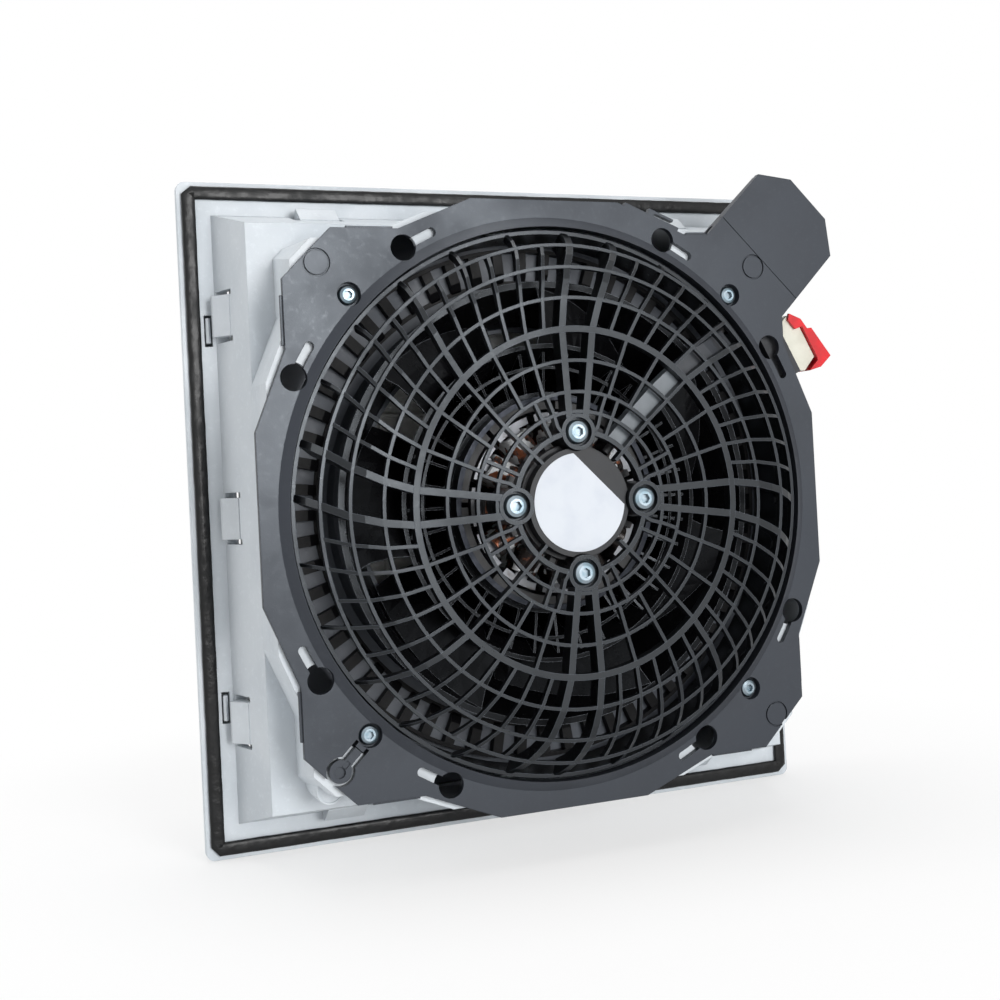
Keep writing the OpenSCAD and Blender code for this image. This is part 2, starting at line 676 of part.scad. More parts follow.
module fan_plate() color("slategray") stand() difference() {
    union() {
        difference() {
            union() {
                translate([0, 0, plate_under]) linear_extrude(plate_thick) polygon(plate_outline());
                rotate([0, 0, 45]) translate([0, 0, plate_under]) linear_extrude(plate_thick)
                    arm_plan(140, arm_seam - 0.15);
            }
            translate([0, 0, plate_under - 1]) cylinder(r = opening_radius, h = plate_thick + 2, $fn = 180);
        }
        plate_lip();
        edge_finger();
        quarter_turns() for (m = [0, 1]) mirror([m, -m, 0])
            translate([plate_ear - 1, ear_start + 2, plate_under]) cube([2.1, 22, plate_thick / 2]);
        around([for (k = [0:3]) 90 * k + 45], plate_screw_circle)
            translate([0, 0, recess_floor - 2]) cylinder(r = plate_boss_r,
                h = plate_under - recess_floor + 2.5);
        // claws that hook under the tower's top
        around(claw_angles, claw_circle) {
            translate([0, 0, tower_top - wall - 0.4]) cylinder(r = claw_neck_r, h = wall + 1.2, $fn = 48);
            translate([0, 0, tower_top - wall - 2.4]) cylinder(r = claw_head_r, h = 2, $fn = 48);
        }
    }
    // keyholes
    for (k = [0:3], a = keyhole_angles) rotate([0, 0, 90 * k + a]) translate([0, 0, plate_under - 5]) {
        translate([keyhole_circle, 0, 0]) keyhole();
        arc_slot(keyhole_circle, keyhole_slot / 2, lock_turn, 20);
    }
    // screw recesses
    around([for (k = [0:3]) 90 * k + 45], plate_screw_circle) {
        translate([0, 0, recess_floor]) cylinder(r = plate_recess_r, h = 10, $fn = 64);
        translate([0, 0, recess_floor - 5]) cylinder(r = 2.6, h = 10, $fn = 48);
    }
    // round marks
    around([45, 135, 315], mark_circle) translate([0, 0, plate_face - 0.9])
        tube(mark_r, mark_r - 0.8, 2);
    // the latch tongue's opening
    rotate([0, 0, 225]) translate([0, 0, plate_under - 1]) linear_extrude(plate_thick + 2) tongue_opening();
    // the guard's lugs meet the plate from below and the claws stay clear of the rim
    translate([0, 0, recess_floor - 9]) cylinder(r = rim_outer + 0.5, h = 9 + plate_under - recess_floor);
}

module tongue_opening() {
    difference() {
        union() {
            translate([mark_circle, 0]) circle(mark_r + 0.3);
            translate([tongue_root + 1.5, -tongue_half - tongue_slit])
                square([mark_circle - tongue_root - 1.5, 2 * (tongue_half + tongue_slit)]);
            translate([tongue_root, -tongue_half - 0.01]) square([4, 2 * tongue_half + 0.02]);
            for (s = [-1, 1]) translate([tongue_root - 2.4,
                s * (tongue_half + tongue_slit / 2) - tongue_slit / 2])
                square([6, tongue_slit]);
        }
    }
}

module latch_tongue() color("slategray") stand() rotate([0, 0, 225]) translate([0, 0, plate_under])
    difference() {
        union() {
            translate([mark_circle, 0, 0]) cylinder(r = tongue_head_r, h = plate_thick, $fn = 64);
            translate([tongue_root + seat_gap, -tongue_half + 0.3, 0])
                cube([mark_circle - tongue_root - 2, 2 * tongue_half - 0.6, plate_thick]);
            translate([mark_circle, 0, -plate_gap - 1]) cylinder(r = 2.6, h = 2, $fn = 48);
        }
        translate([mark_circle + 0.6, 0, plate_thick - 1.4]) cylinder(r = 2.6, h = 3, $fn = 48);
        translate([mark_circle - 5.5, -1.1, plate_thick - 0.6]) cube([3.4, 2.2, 2]);
    }

// Arm with the terminal box

module arm_wedge(inset, low_offset, high) {
    // plan of the arm beyond the seam, cut by a floor that rises towards the tip
    intersection() {
        linear_extrude(plate_face + 10) polygon([[arm_root, -arm_half + inset],
            [arm_end - 12 - inset / 2, -arm_half + inset],
            [arm_end - inset, -arm_end_half + inset / 2], [arm_end - inset, arm_end_half - inset / 2],
            [arm_end - 12 - inset / 2, arm_half - inset], [arm_root, arm_half - inset]]);
        translate([0, arm_half + 1, 0]) rotate([90, 0, 0]) linear_extrude(2 * arm_half + 2)
            polygon([[arm_root, plate_face - arm_depth + low_offset], [arm_end,
                plate_face - arm_tip_depth + low_offset],
                [arm_end, high], [arm_root, high]]);
    }
}

module arm_cover_plan(inset) {
    polygon([[arm_seam + 0.15 + inset, -arm_half + inset], [arm_end - 12, -arm_half + inset],
        [arm_end - inset, -arm_end_half], [arm_end - inset, arm_end_half],
        [arm_end - 12, arm_half - inset], [arm_seam + 0.15 + inset, arm_half - inset]]);
}

module terminal_cover() color("darkslategray") stand() rotate([0, 0, 45]) difference() {
    translate([0, 0, plate_under]) linear_extrude(plate_thick) arm_cover_plan(0);
    translate([0, 0, plate_under - 1]) linear_extrude(plate_thick - 1) arm_cover_plan(1.8);
}

// Open box under the arm, deep at its root and shallow at its tip.
module terminal_tray() color("slategray") stand() rotate([0, 0, 45]) difference() {
    arm_wedge(0.6, 0, plate_under - 0.02);
    arm_wedge(2.4, 1.8, plate_face);
    // opening towards the motor lead and the socket
    translate([arm_root - 1, -12, plate_face - arm_depth + 1.8]) cube([6, 22, 20]);
    // window in the upper side
    translate([arm_root + 1, arm_half - 6, plate_under - 5]) cube([10, 10, 3.8]);
}

module terminal_block() color("ivory") stand() rotate([0, 0, 45]) difference() {
    translate([arm_root + 6, -14, plate_under - 4.2]) cube([8, 28, 3.9]);
    for (y = [-9, 0, 9]) translate([arm_root + 10, y, plate_under - 3]) cylinder(r = 2, h = 6, $fn = 32);
}

// Guard grille

// Angle added at a radius: the bars run straight out from the hub and sweep clockwise towards the rim.
function sweep_at(r) = -rim_sweep * pow(max(0, r - crown_rings[0]) / (rim_outer - crown_rings[0]), 1.9);
function polar(r, a) = [r * cos(a), r * sin(a)];
function bar_pitch() = (90 - 2 * strut_half_angle) / (bars_between + 1);
function bar_angle(k, i) = 90 * k + strut_half_angle + i * bar_pitch();
function swept_path(angle, radii) = [for (r = radii) polar(r, angle + sweep_at(r))];
function reversed(list) = [for (i = [len(list) - 1:-1:0]) list[i]];

// Moves an open path sideways by d, keeping its corners sharp.
function moved(path, d) = [for (i = [0:len(path) - 1])
    let (last = len(path) - 1, a = edge_normal(path[max(0, i - 1)], path[max(1, i)]),
        b = edge_normal(path[min(i, last - 1)], path[min(i + 1, last)]))
    path[i] + d * (a + b) / (1 + a * b)];

module strip(path, width) {
    polygon(concat(moved(path, width / 2), reversed(moved(path, -width / 2))));
}

middle_bar = (bars_between + 1) / 2;
bar_radii = [crown_rings[0], heavy_ring, crown_rings[2], shoulder_ring, rim_inner + 0.9];
short_radii = [heavy_ring, crown_rings[2], shoulder_ring, slope_ring];
strut_radii = [heavy_ring, crown_rings[2], shoulder_ring, rim_inner + 0.9];

module thin_plan() {
    for (k = [0:3]) {
        for (i = [1:bars_between]) if (i != middle_bar) strip(swept_path(bar_angle(k, i), bar_radii),
            thin_bar);
        for (i = [0:bars_between]) strip(swept_path(bar_angle(k, i + 0.5), short_radii), thin_bar);
        for (s = [-1, 1]) strip(swept_path(bar_angle(k, middle_bar + 1.55 * s),
            [hub_ring, crown_rings[0]]), thin_bar);
    }
}

// Plan of a diagonal rib, thin inside the heavy ring and thicker outside it.
module rib_plan(k) {
    radii = [26, crown_rings[0], heavy_ring - 1, heavy_ring, crown_rings[2], shoulder_ring, slope_ring,
        rim_inner + 0.9];
    widths = [thin_bar, thin_bar, thin_bar, diagonal_rib, diagonal_rib, diagonal_rib, thin_bar + 0.3,
        thin_bar + 0.3];
    path = swept_path(bar_angle(k, middle_bar), radii);
    left = moved(path, 1);
    polygon(concat([for (i = [0:len(path) - 1]) path[i] + (left[i] - path[i]) * widths[i] / 2],
        reversed([for (i = [0:len(path) - 1]) path[i] - (left[i] - path[i]) * widths[i] / 2])));
}

// A strut leaves its boss beside the screw and spreads from its neighbour up to the heavy ring.
module strut_plan(k, side) {
    start = turned([hub_ring + 6.6, side * 4.1], 90 * k);
    strip(concat([start], swept_path(90 * k + side * strut_half_angle, strut_radii)), strut);
}

// A hooked bar that leaves the boss sideways and bends out to the inner ring.
module hook_plan(k, side) {
    strip([for (p = [[hub_ring - 2, side * 7], [hub_ring + 2.5, side * 10.2], [hub_ring + 9.6, side * 12.2],
        [crown_rings[0] * cos(17), side * crown_rings[0] * sin(17)]]) turned(p, 90 * k)], thin_bar);
}

// Side profile of the guard's dome, from the hub out to the rim.
dome_path = [[16, crown], [crown_rings[2] + 1, crown], [crown_rings[2] + 8.6, crown - 0.9],
    [shoulder_ring, shoulder_height], [shoulder_ring + 6.2, shoulder_height - 3.2],
    [slope_ring, slope_height], [slope_ring + 4.8, slope_height - 6.8], [rim_inner + 1, plate_face - 1.6]];

module dome_shell(thick) {
    rotate_extrude($fn = 180) polygon(concat(dome_path, reversed(moved(dome_path, thick))));
}

module dome_bars(thick) {
    intersection() {
        dome_shell(thick);
        translate([0, 0, rim_bottom]) linear_extrude(crown - rim_bottom + 5) children();
    }
}

module ring_at(radius, top, width, height) {
    translate([0, 0, top - height]) rotate_extrude($fn = 180)
        translate([radius - width / 2, 0]) square([width, height]);
}

module guard_grille() color("slategray") stand() difference() {
    union() {
        dome_bars(thin_bar_height) thin_plan();
        dome_bars(strut_height) for (k = [0:3], side = [-1, 1]) strut_plan(k, side);
        dome_bars(rib_depth) for (k = [0:3]) rib_plan(k);
        dome_bars(thin_bar_height + 0.6) for (k = [0:3], side = [-1, 1]) hook_plan(k, side);
        for (r = concat(crown_rings, [41.6])) ring_at(r, crown - 0.15, thin_bar, thin_bar_height - 0.4);
        ring_at(heavy_ring, crown + 0.1, 2.9, 5);
        ring_at(hub_ring, crown - 0.2, 2.2, 4);
        ring_at(shoulder_ring, shoulder_height + 0.2, thin_bar, thin_bar_height + 0.2);
        ring_at(slope_ring, slope_height + 0.3, thin_bar, thin_bar_height);
        quarter_turns() translate([hub_ring, 0, lug_top]) cylinder(r = boss_r, h = crown + 0.2 - lug_top,
            $fn = 64);
        // rim tube with the four lugs under the plate
        translate([0, 0, rim_bottom]) rotate_extrude($fn = 180)
            translate([rim_inner, 0]) square([rim_thick, plate_face - 1 - rim_bottom]);
        rotate([0, 0, 45]) quarter_turns() translate([0, 0, recess_floor - 2 - lug_thick])
            linear_extrude(lug_thick - 0.02) {
                translate([plate_screw_circle, 0]) circle(plate_boss_r);
                translate([rim_inner + 0.5, 0.4 - plate_boss_r])
                    square([plate_screw_circle - rim_inner, 2 * plate_boss_r - 0.8]);
            }
    }
    quarter_turns() translate([hub_ring, 0, 0]) {
        translate([0, 0, boss_top]) cylinder(r = boss_recess_r, h = 10, $fn = 64);
        translate([0, 0, lug_top - 1]) cylinder(r = 2.6, h = 20, $fn = 48);
    }
    around([for (k = [0:3]) 90 * k + 45], plate_screw_circle) translate([0, 0, recess_floor - 10])
        cylinder(r = 2.2, h = 10, $fn = 48);
    // way through the rim tube for the motor's lead
    rotate([0, 0, 45]) translate([rim_inner - 6, -lug_half - 6.2, plate_under - 8.4]) cube([12, 6, 7.2]);
}

// A round-headed screw with a six-sided socket, its head's foot at height zero.
module socket_screw(head_r, head_h, shank_r, shank_l) {
    difference() {
        union() {
            rotate_extrude($fn = 64) polygon([[0, 0], [head_r, 0], [head_r, head_h * 0.45],
                [head_r * 0.86, head_h * 0.8], [head_r * 0.6, head_h], [0, head_h]]);
            translate([0, 0, -shank_l]) cylinder(r = shank_r, h = shank_l + 0.01, $fn = 32);
        }
        translate([0, 0, head_h * 0.35]) cylinder(r = head_r * 0.42, h = head_h, $fn = 6);
    }
}

module plate_screws() color("silver") stand()
    around([for (k = [0:3]) 90 * k + 45], plate_screw_circle)
        translate([0, 0, recess_floor]) socket_screw(plate_screw_head_r, 3, 2.2, 6.5);

module hub_screws() color("silver") stand()
    around([0, 90, 180, 270], hub_ring) translate([0, 0, boss_top]) socket_screw(hub_screw_head_r, 3.2,
        2.5, 12);

// Motor

module motor_flange() color("dimgray") stand() difference() {
    union() {
        translate([0, 0, lug_top - 6]) cylinder(r = 27, h = motor_disc_top - lug_top + 6);
        around([0, 90, 180, 270], hub_ring) translate([0, 0, lug_top - 6])
            cylinder(r = boss_r, h = 5.98, $fn = 64);
        // rim that covers the top of the windings
        translate([0, 0, lug_top - 6]) tube(27, 20, 1);
        for (a = [22.5:45:337.5]) rotate([0, 0, a]) translate([20, -1.5, lug_top - 6]) cube([13, 3, 4]);
    }
    quarter_turns() translate([hub_ring, 0, lug_top - 0.02]) cylinder(r = boss_r + seat_gap, h = 30,
        $fn = 64);
    translate([0, 0, motor_disc_top]) tube(40, motor_disc_r, 10);
    around([0, 90, 180, 270], hub_ring) translate([0, 0, lug_top - 7]) cylinder(r = 2.5, h = 20, $fn = 48);
    translate([0, 0, lug_top - 7]) cylinder(r = 13, h = 9);
    // edge of the raised disc
    difference() {
        translate([0, 0, motor_disc_top - 6]) cylinder(r = 40, h = 10);
        translate([0, 0, motor_disc_top - 7]) cylinder(r = motor_disc_r, h = 12);
    }
}

module label_disc() color("white") stand() translate([0, 0, motor_disc_top]) difference() {
    cylinder(r = label_r, h = 0.4);
    rotate([0, 0, 45]) translate([label_cut, -30, -1]) cube([30, 60, 3]);
}

tube_top = lug_top - 1;
core_low = 34;
core_high = 60;

module bearing_tube() color("dimgray") stand() {
    translate([0, 0, 26]) tube(13, bearing_r, tube_top - 26);
    translate([0, 0, 26 + bearing_height + 0.02]) tube(bearing_r + 0.5, bearing_r - 1.2, 3);
    translate([0, 0, tube_top - 2 * bearing_height]) tube(bearing_r + 0.5, bearing_r - 1.2, 3);
}

module bearing(low) {
    translate([0, 0, low]) difference() {
        cylinder(r = bearing_r, h = bearing_height);
        translate([0, 0, -1]) cylinder(r = shaft_r + shaft_fit, h = bearing_height + 2, $fn = 64);
        for (z = [-0.5, bearing_height - 0.6]) translate([0, 0, z]) tube(bearing_r - 2, shaft_r + 1.8, 1.1);
    }
}

module bearing_lower() color("silver") stand() bearing(26);

module bearing_upper() color("silver") stand() bearing(tube_top - bearing_height - 3);

module stator_core() color("silver") stand() translate([0, 0, core_low]) linear_extrude(core_high - core_low)
    difference() {
        union() {
            circle(22);
            for (i = [0:stator_teeth - 1]) rotate([0, 0, i * 360 / stator_teeth]) {
                translate([18, -3.2]) square([stator_r - 20, 6.4]);
                intersection() {
                    difference() {
                        circle(stator_r);
                        circle(stator_r - 3.4);
                    }
                    polygon([[0, 0], polar(60, -180 / stator_teeth + 2.6), polar(60,
                        180 / stator_teeth - 2.6)]);
                }
            }
        }
        circle(13);
    }

// One coil round each tooth: a racetrack that fills the slot and bulges above and below the core.
module stator_windings() color("peru") stand()
    for (i = [0:stator_teeth - 1]) rotate([0, 0, i * 360 / stator_teeth]) difference() {
        translate([24.5, 0, 0]) coil_block(5.6, core_low - 6, core_high + 8);
        translate([20, -3.22, core_low - 0.02]) cube([30, 6.44, core_high - core_low + 0.04]);
    }

module coil_block(half, low, high) {
    intersection() {
        translate([0, -half, low]) cube([14, 2 * half, high - low]);
        translate([0, 0, low]) linear_extrude(high - low)
            polygon([[0, -3.9], [14, -7.2], [14, 7.2], [0, 3.9]]);
    }
}

// Path of the first diagonal rib in plan, from the duct's start to its end.
function rib_path(from, to) = swept_path(bar_angle(0, middle_bar),
    [from, inner_ring, crown_rings[1], heavy_ring, crown_rings[2], shoulder_ring, to]);

// Strip beside the diagonal rib, between two distances from the rib's middle.
module beside_rib(right, left, from, to) {
    polygon(concat(moved(rib_path(from, to), right), reversed(moved(rib_path(from, to), -left))));
}

// A band of the dome between two depths below its face.
module dome_band(near, far) {
    rotate_extrude($fn = 180) polygon(concat(moved(dome_path, near), reversed(moved(dome_path, far))));
}

// Channel, open below, that carries the motor's lead under the guard beside the diagonal rib.
module cable_duct() color("lightgray") stand() difference() {
    intersection() {
        dome_band(rib_depth + 0.02, rib_depth + duct_depth);
        translate([0, 0, rim_bottom]) linear_extrude(crown - rim_bottom)
            beside_rib(duct_right, duct_left, duct_start, duct_end);
    }
    intersection() {
        dome_band(rib_depth + duct_wall, rib_depth + duct_depth + 2);
        translate([0, 0, rim_bottom]) linear_extrude(crown - rim_bottom)
            beside_rib(duct_right - duct_wall, duct_left - duct_wall, duct_start - 1, duct_end + 1);
    }
}

// Points of the lead's middle: under the dome's face, out through the rim tube and on to the terminals.
function lead_points() =
    let (plan = moved(rib_path(27.6, duct_end - 5), (duct_right - duct_left) / 2),
        under_dome = moved(dome_path, lead_drop), beside = -lug_half - lead_room - 0.3)
    concat([for (p = plan) [p[0], p[1], lookup(norm(p), under_dome)]],
        [for (p = [[rim_inner - 8.7, beside - 1.9, plate_under - 5], [rim_outer + 2, beside,
            plate_under - 5.2],
            [arm_root - 7, beside, plate_under - 5.2], [arm_root, beside + 2.5, plate_under - 3.4],
            [arm_root + 5.8, beside + 2.5, plate_under - 2.9]]) concat(turned([p[0], p[1]], 45), [p[2]])]);

// Cuts each corner of a path in two, so that it bends gently.
function eased(points) = concat([points[0]], [for (i = [0:len(points) - 2])
    each [mixed(points[i], points[i + 1], 0.25), mixed(points[i], points[i + 1], 0.75)]],
    [points[len(points) - 1]]);

// Points round one place of a path, square to its direction there.
function cord_ring(points, i, r, sides) =
    let (ahead = points[min(i + 1, len(points) - 1)] - points[max(i - 1, 0)],
        side = cross(ahead, [0, 0, 1]) / norm(cross(ahead, [0, 0, 1])),
        up = cross(side, ahead) / norm(ahead))
    [for (k = [0:sides - 1]) points[i] + r * (cos(360 * k / sides) * side + sin(360 * k / sides) * up)];

// A round cord along a path, with flat ends.
module cord(points, r, sides) {
    last = (len(points) - 1) * sides;
    walls = [for (i = [0:len(points) - 2], k = [0:sides - 1])
        let (a = i * sides + k, b = i * sides + (k + 1) % sides)
        each [[a, b, b + sides], [a, b + sides, a + sides]]];
    ends = [[for (k = [sides - 1:-1:0]) k], [for (k = [0:sides - 1]) last + k]];
    polyhedron([for (i = [0:len(points) - 1]) each cord_ring(points, i, r, sides)], concat(walls, ends));
}

// The lead from the motor along the duct, through the rim tube and into the terminal arm.
module motor_lead() color("black") stand() cord(eased(lead_points()), lead_r, lead_sides);

module plug_frame() {
    rotate([0, 0, plug_angle]) translate([plug_seat, 0, 0]) children();
}

module plug_socket() color("dimgray") stand() plug_frame() difference() {
    translate([-13, -plug_length / 2 + 0.5, plug_face - plug_depth]) cube([12.98, plug_length - 1,
        plug_depth + 1]);
    translate([-9, -plug_length / 2 + 3, plug_face - plug_depth + 2.5])
        cube([20, plug_length - 6, plug_depth - 5]);
}

module plug_body() color("ivory") stand() plug_frame() difference() {
    union() {
        translate([0, 0, plug_face - plug_depth]) linear_extrude(plug_depth)
            polygon([[0, -plug_length / 2 + 1], [3, -plug_length / 2 - 1], [plug_width,
                -plug_length / 2 + 2.5],
                [plug_width, lever_pin_y - 1.6], [8, plug_length / 2 + 2.5], [0, plug_length / 2]]);
        translate([-7, -plug_length / 2 + 3 + plug_fit, plug_face - plug_depth + 2.5 + plug_fit])
            cube([7.5, plug_length - 6 - 2 * plug_fit, plug_depth - 5 - 2 * plug_fit]);
    }
    // contact ways in the nose
    for (y = [-6, 0, 6]) translate([-8, y - 1.2, plug_face - plug_depth / 2 - 1.5]) cube([12, 2.4, 3]);
    // seat of the lever's pin
    translate([lever_pin_x, lever_pin_y, plug_face - 5.5]) cylinder(r = lever_pin_r + hinge_fit, h = 6,
        $fn = 48);
}

// Lever: a wing along the plug's outer side and a cheek with a pin on the plug's face.
module plug_lever() color("red") stand() plug_frame() {
    cheek = 1.6;
    low = plug_face - plug_depth + 2;
    top = plug_face + seat_gap + cheek;
    translate([0, 0, low]) linear_extrude(top - low)
        polygon([[plug_width + 0.35, lever_pin_y - 2.4], [plug_width + 1.6, lever_pin_y],
            [plug_width + 2.6, 4.6], [plug_width + 5, 3.6], [plug_width + 8, -plug_length / 2 - 1.4],
            [plug_width - 0.2, -plug_length / 2 - 3.6], [4.6, -plug_length / 2 - 2],
            [plug_width - 0.4, -plug_length / 2 + 0.2], [plug_width + 0.35, -plug_length / 2 + 1.6]]);
    translate([0, 0, plug_face + seat_gap]) linear_extrude(cheek)
        polygon([[6.4, plug_length / 2 + 0.6], [8.6, plug_length / 2 + 3.2], [plug_width + 1.6, lever_pin_y],
            [plug_width + 1.6, lever_pin_y - 4], [plug_width - 4, lever_pin_y - 3]]);
    translate([lever_pin_x, lever_pin_y, plug_face - 4.5]) cylinder(r = lever_pin_r, h = 5, $fn = 48);
}

// Rotor

can_low = 14;
can_high = 62;

module rotor_can() color("gray") stand() {
    translate([0, 0, can_low]) difference() {
        cylinder(r = can_r, h = can_high - can_low);
        translate([0, 0, 3]) cylinder(r = can_r - 2.5, h = can_high);
        translate([0, 0, -1]) cylinder(r = shaft_r, h = 20, $fn = 64);
        around([0:60:300], 32) translate([0, 0, -1]) cylinder(r = 4, h = 6, $fn = 32);
    }
    translate([0, 0, can_low + 2.9]) tube(8, shaft_r, 6);
}

module rotor_magnets() color("dimgray") stand()
    for (i = [0:7]) rotate([0, 0, 45 * i]) translate([0, 0, core_low])
        rotate_extrude(angle = 42) translate([can_r - 2.5 - 4, 0]) square([3.98, core_high - core_low]);

module shaft() color("silver") stand() translate([0, 0, can_low]) difference() {
    cylinder(r = shaft_r, h = tube_top - can_low - 1, $fn = 64);
    translate([0, 0, tube_top - can_low - 3]) tube(shaft_r + 1, shaft_r - 0.6, 1);
}

module shaft_ring() color("dimgray") stand() translate([0, 0, tube_top - 2.7]) difference() {
    cylinder(r = shaft_r + 1.6, h = 0.68, $fn = 48);
    translate([0, 0, -1]) cylinder(r = shaft_r - 0.58, h = 3, $fn = 48);
    translate([0, -1.2, -1]) cube([10, 2.4, 3]);
}

function mixed(a, b, t) = a + (b - a) * t;

// Places of a blade's skin: t runs from the inlet to the outlet edge, s from the hub to the shroud.
function blade_point(t, s, face) =
    let (r = mixed(mixed(hub_inlet_r, hub_outlet_r, t) - 0.8, mixed(shroud_inlet_r, shroud_outlet_r,
        t) + 0.6, s),
        h = mixed(impeller_low + 1, impeller_high - 1, t) + 3 * s * (1 - t),
        half = blade_thick / 2 * (0.35 + 0.65 * sin(180 * pow(t, 0.7))),
        a = blade_wrap * (t - 0.18 * s) + 6 * s * s,
        along = atan2(impeller_high - impeller_low, blade_wrap * PI / 180 * r),
        shift = face * half)
    [r * cos(a) - shift * sin(along) * -sin(a), r * sin(a) - shift * sin(along) * cos(a),
        h + shift * cos(along)];

blade_steps = 10;
blade_spans = 3;
function skin_index(face, i, j) = face * (blade_steps + 1) * (blade_spans + 1) + i * (blade_spans + 1) + j;

module blade() {
    points = [for (face = [-1, 1], i = [0:blade_steps], j = [0:blade_spans])
        blade_point(i / blade_steps, j / blade_spans, face)];
    skins = [for (i = [0:blade_steps - 1], j = [0:blade_spans - 1]) each [
        [skin_index(0, i, j), skin_index(0, i, j + 1), skin_index(0, i + 1, j + 1), skin_index(0, i + 1, j)],
        [skin_index(1, i, j), skin_index(1, i + 1, j), skin_index(1, i + 1, j + 1), skin_index(1, i,
            j + 1)]]];
    ends = [for (j = [0:blade_spans - 1]) each [
        [skin_index(0, 0, j), skin_index(1, 0, j), skin_index(1, 0, j + 1), skin_index(0, 0, j + 1)],
        [skin_index(0, blade_steps, j), skin_index(0, blade_steps, j + 1),
            skin_index(1, blade_steps, j + 1), skin_index(1, blade_steps, j)]]];
    edges = [for (i = [0:blade_steps - 1]) each [
        [skin_index(0, i, 0), skin_index(0, i + 1, 0), skin_index(1, i + 1, 0), skin_index(1, i, 0)],
        [skin_index(0, i, blade_spans), skin_index(1, i, blade_spans),
            skin_index(1, i + 1, blade_spans), skin_index(0, i + 1, blade_spans)]]];
    polyhedron(points, concat(skins, ends, edges));
}

module impeller() color("black") stand() {
    // hub: a sleeve on the rotor can, an outer cone and ribs between them
    rotate_extrude() polygon([[can_r, impeller_low - 3], [hub_inlet_r - 1, impeller_low - 3],
        [hub_inlet_r, impeller_low - 1], [hub_outlet_r, impeller_high], [hub_outlet_r - 2, impeller_high],
        [hub_inlet_r - 0.5, impeller_low + 4], [can_r + 2, impeller_low + 2], [can_r + 2, impeller_high - 4],
        [can_r, impeller_high - 4]]);
    for (i = [0:hub_ribs - 1]) rotate([0, 0, i * 360 / hub_ribs]) translate([0, 0.6, 0]) rotate([90, 0, 0])
        linear_extrude(1.2) polygon([[can_r + 1, impeller_low + 1], [hub_inlet_r, impeller_low + 1],
            [hub_outlet_r - 1, impeller_high - 3], [can_r + 1, impeller_high - 6]]);
    translate([0, 0, impeller_high - 12]) tube(hub_outlet_r - 10.4, hub_outlet_r - 11.8, 8.5);
    // shroud with a rolled outlet lip
    rotate_extrude() polygon([[shroud_inlet_r, impeller_low], [shroud_inlet_r + 1.8, impeller_low],
        [shroud_outlet_r + 2, impeller_high - 1.5], [shroud_outlet_r + 3, impeller_high],
        [shroud_outlet_r, impeller_high]]);
    for (i = [0:blade_count - 1]) rotate([0, 0, i * 360 / blade_count]) blade();
}

base_frame();
gasket();
panel_clips();
filter_grid();
filter_mat();
inlet_ring();
guide_ring();
louvre_cover();
louvre_hinge_pins();
fan_plate();
guard_grille();
plate_screws();
hub_screws();
motor_flange();
label_disc();
bearing_tube();
stator_core();
stator_windings();
bearing_upper();
bearing_lower();
cable_duct();
motor_lead();
terminal_cover();
terminal_tray();
terminal_block();
plug_socket();
rotor_can();
rotor_magnets();
shaft();
shaft_ring();
impeller();
latch_tongue();
plug_body();
plug_lever();
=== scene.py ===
"""Looks of a square enclosure fan-and-filter unit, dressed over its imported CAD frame.

The unit is seen from its fan side. Lengths are in millimetres until they enter a mesh, and
"lying" coordinates mean (x, y, h) with h the height above the gasket's sealing face towards
the fan side, which is how the unit is drawn before it stands up.
"""

import sys
import logging
import math
from dataclasses import dataclass, field
from enum import Enum
from typing import Any, Mapping, Sequence, Union

import bpy
import numpy as np
from mathutils import Matrix, Vector


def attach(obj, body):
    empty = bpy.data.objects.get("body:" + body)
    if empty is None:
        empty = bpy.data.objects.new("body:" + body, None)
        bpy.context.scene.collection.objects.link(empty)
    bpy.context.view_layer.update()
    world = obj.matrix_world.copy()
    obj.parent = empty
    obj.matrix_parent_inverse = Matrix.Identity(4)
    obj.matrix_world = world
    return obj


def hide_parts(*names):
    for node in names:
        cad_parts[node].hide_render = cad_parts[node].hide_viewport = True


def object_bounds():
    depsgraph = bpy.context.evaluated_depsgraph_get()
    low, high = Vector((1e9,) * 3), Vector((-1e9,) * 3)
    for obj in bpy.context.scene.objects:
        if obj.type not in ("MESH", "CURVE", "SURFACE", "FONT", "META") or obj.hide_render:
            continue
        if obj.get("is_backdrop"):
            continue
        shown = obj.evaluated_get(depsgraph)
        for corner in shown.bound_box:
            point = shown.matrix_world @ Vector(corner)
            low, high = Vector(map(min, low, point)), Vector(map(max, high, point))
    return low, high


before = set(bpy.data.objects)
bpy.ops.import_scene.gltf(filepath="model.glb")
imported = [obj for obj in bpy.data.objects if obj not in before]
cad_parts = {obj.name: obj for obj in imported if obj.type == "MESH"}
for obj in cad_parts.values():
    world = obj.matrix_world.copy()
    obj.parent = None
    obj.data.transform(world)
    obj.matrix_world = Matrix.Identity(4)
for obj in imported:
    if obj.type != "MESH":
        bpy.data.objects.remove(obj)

LOG = logging.getLogger("fan_unit")
MM = 0.001
WAVE_UNIT = 20  # the wave texture repeats every tau / 20 of its own coordinates
WHITE = (1.0, 1.0, 1.0, 1.0)
GLEAM = (0.86, 0.93, 1.0)
Colour = tuple[float, float, float]
Number = Union[int, float, "Signal"]


class Axis(Enum):
    """Direction along which a finish has its lines."""

    X = (1.0, 0.0, 0.0)
    Y = (0.0, 1.0, 0.0)
    Z = (0.0, 0.0, 1.0)


def linear(red: int, green: int, blue: int) -> Colour:
    """Turns a colour picked on screen into the shader's own scale.

    Args:
        red: Red from 0 to 255.
        green: Green from 0 to 255.
        blue: Blue from 0 to 255.

    Returns:
        The same colour with linear components from 0 to 1.
    """
    part = np.array([red, green, blue]) / 255
    low = part / 12.92
    high = ((part + 0.055) / 1.055) ** 2.4
    return tuple(float(v) for v in np.where(part <= 0.04045, low, high))


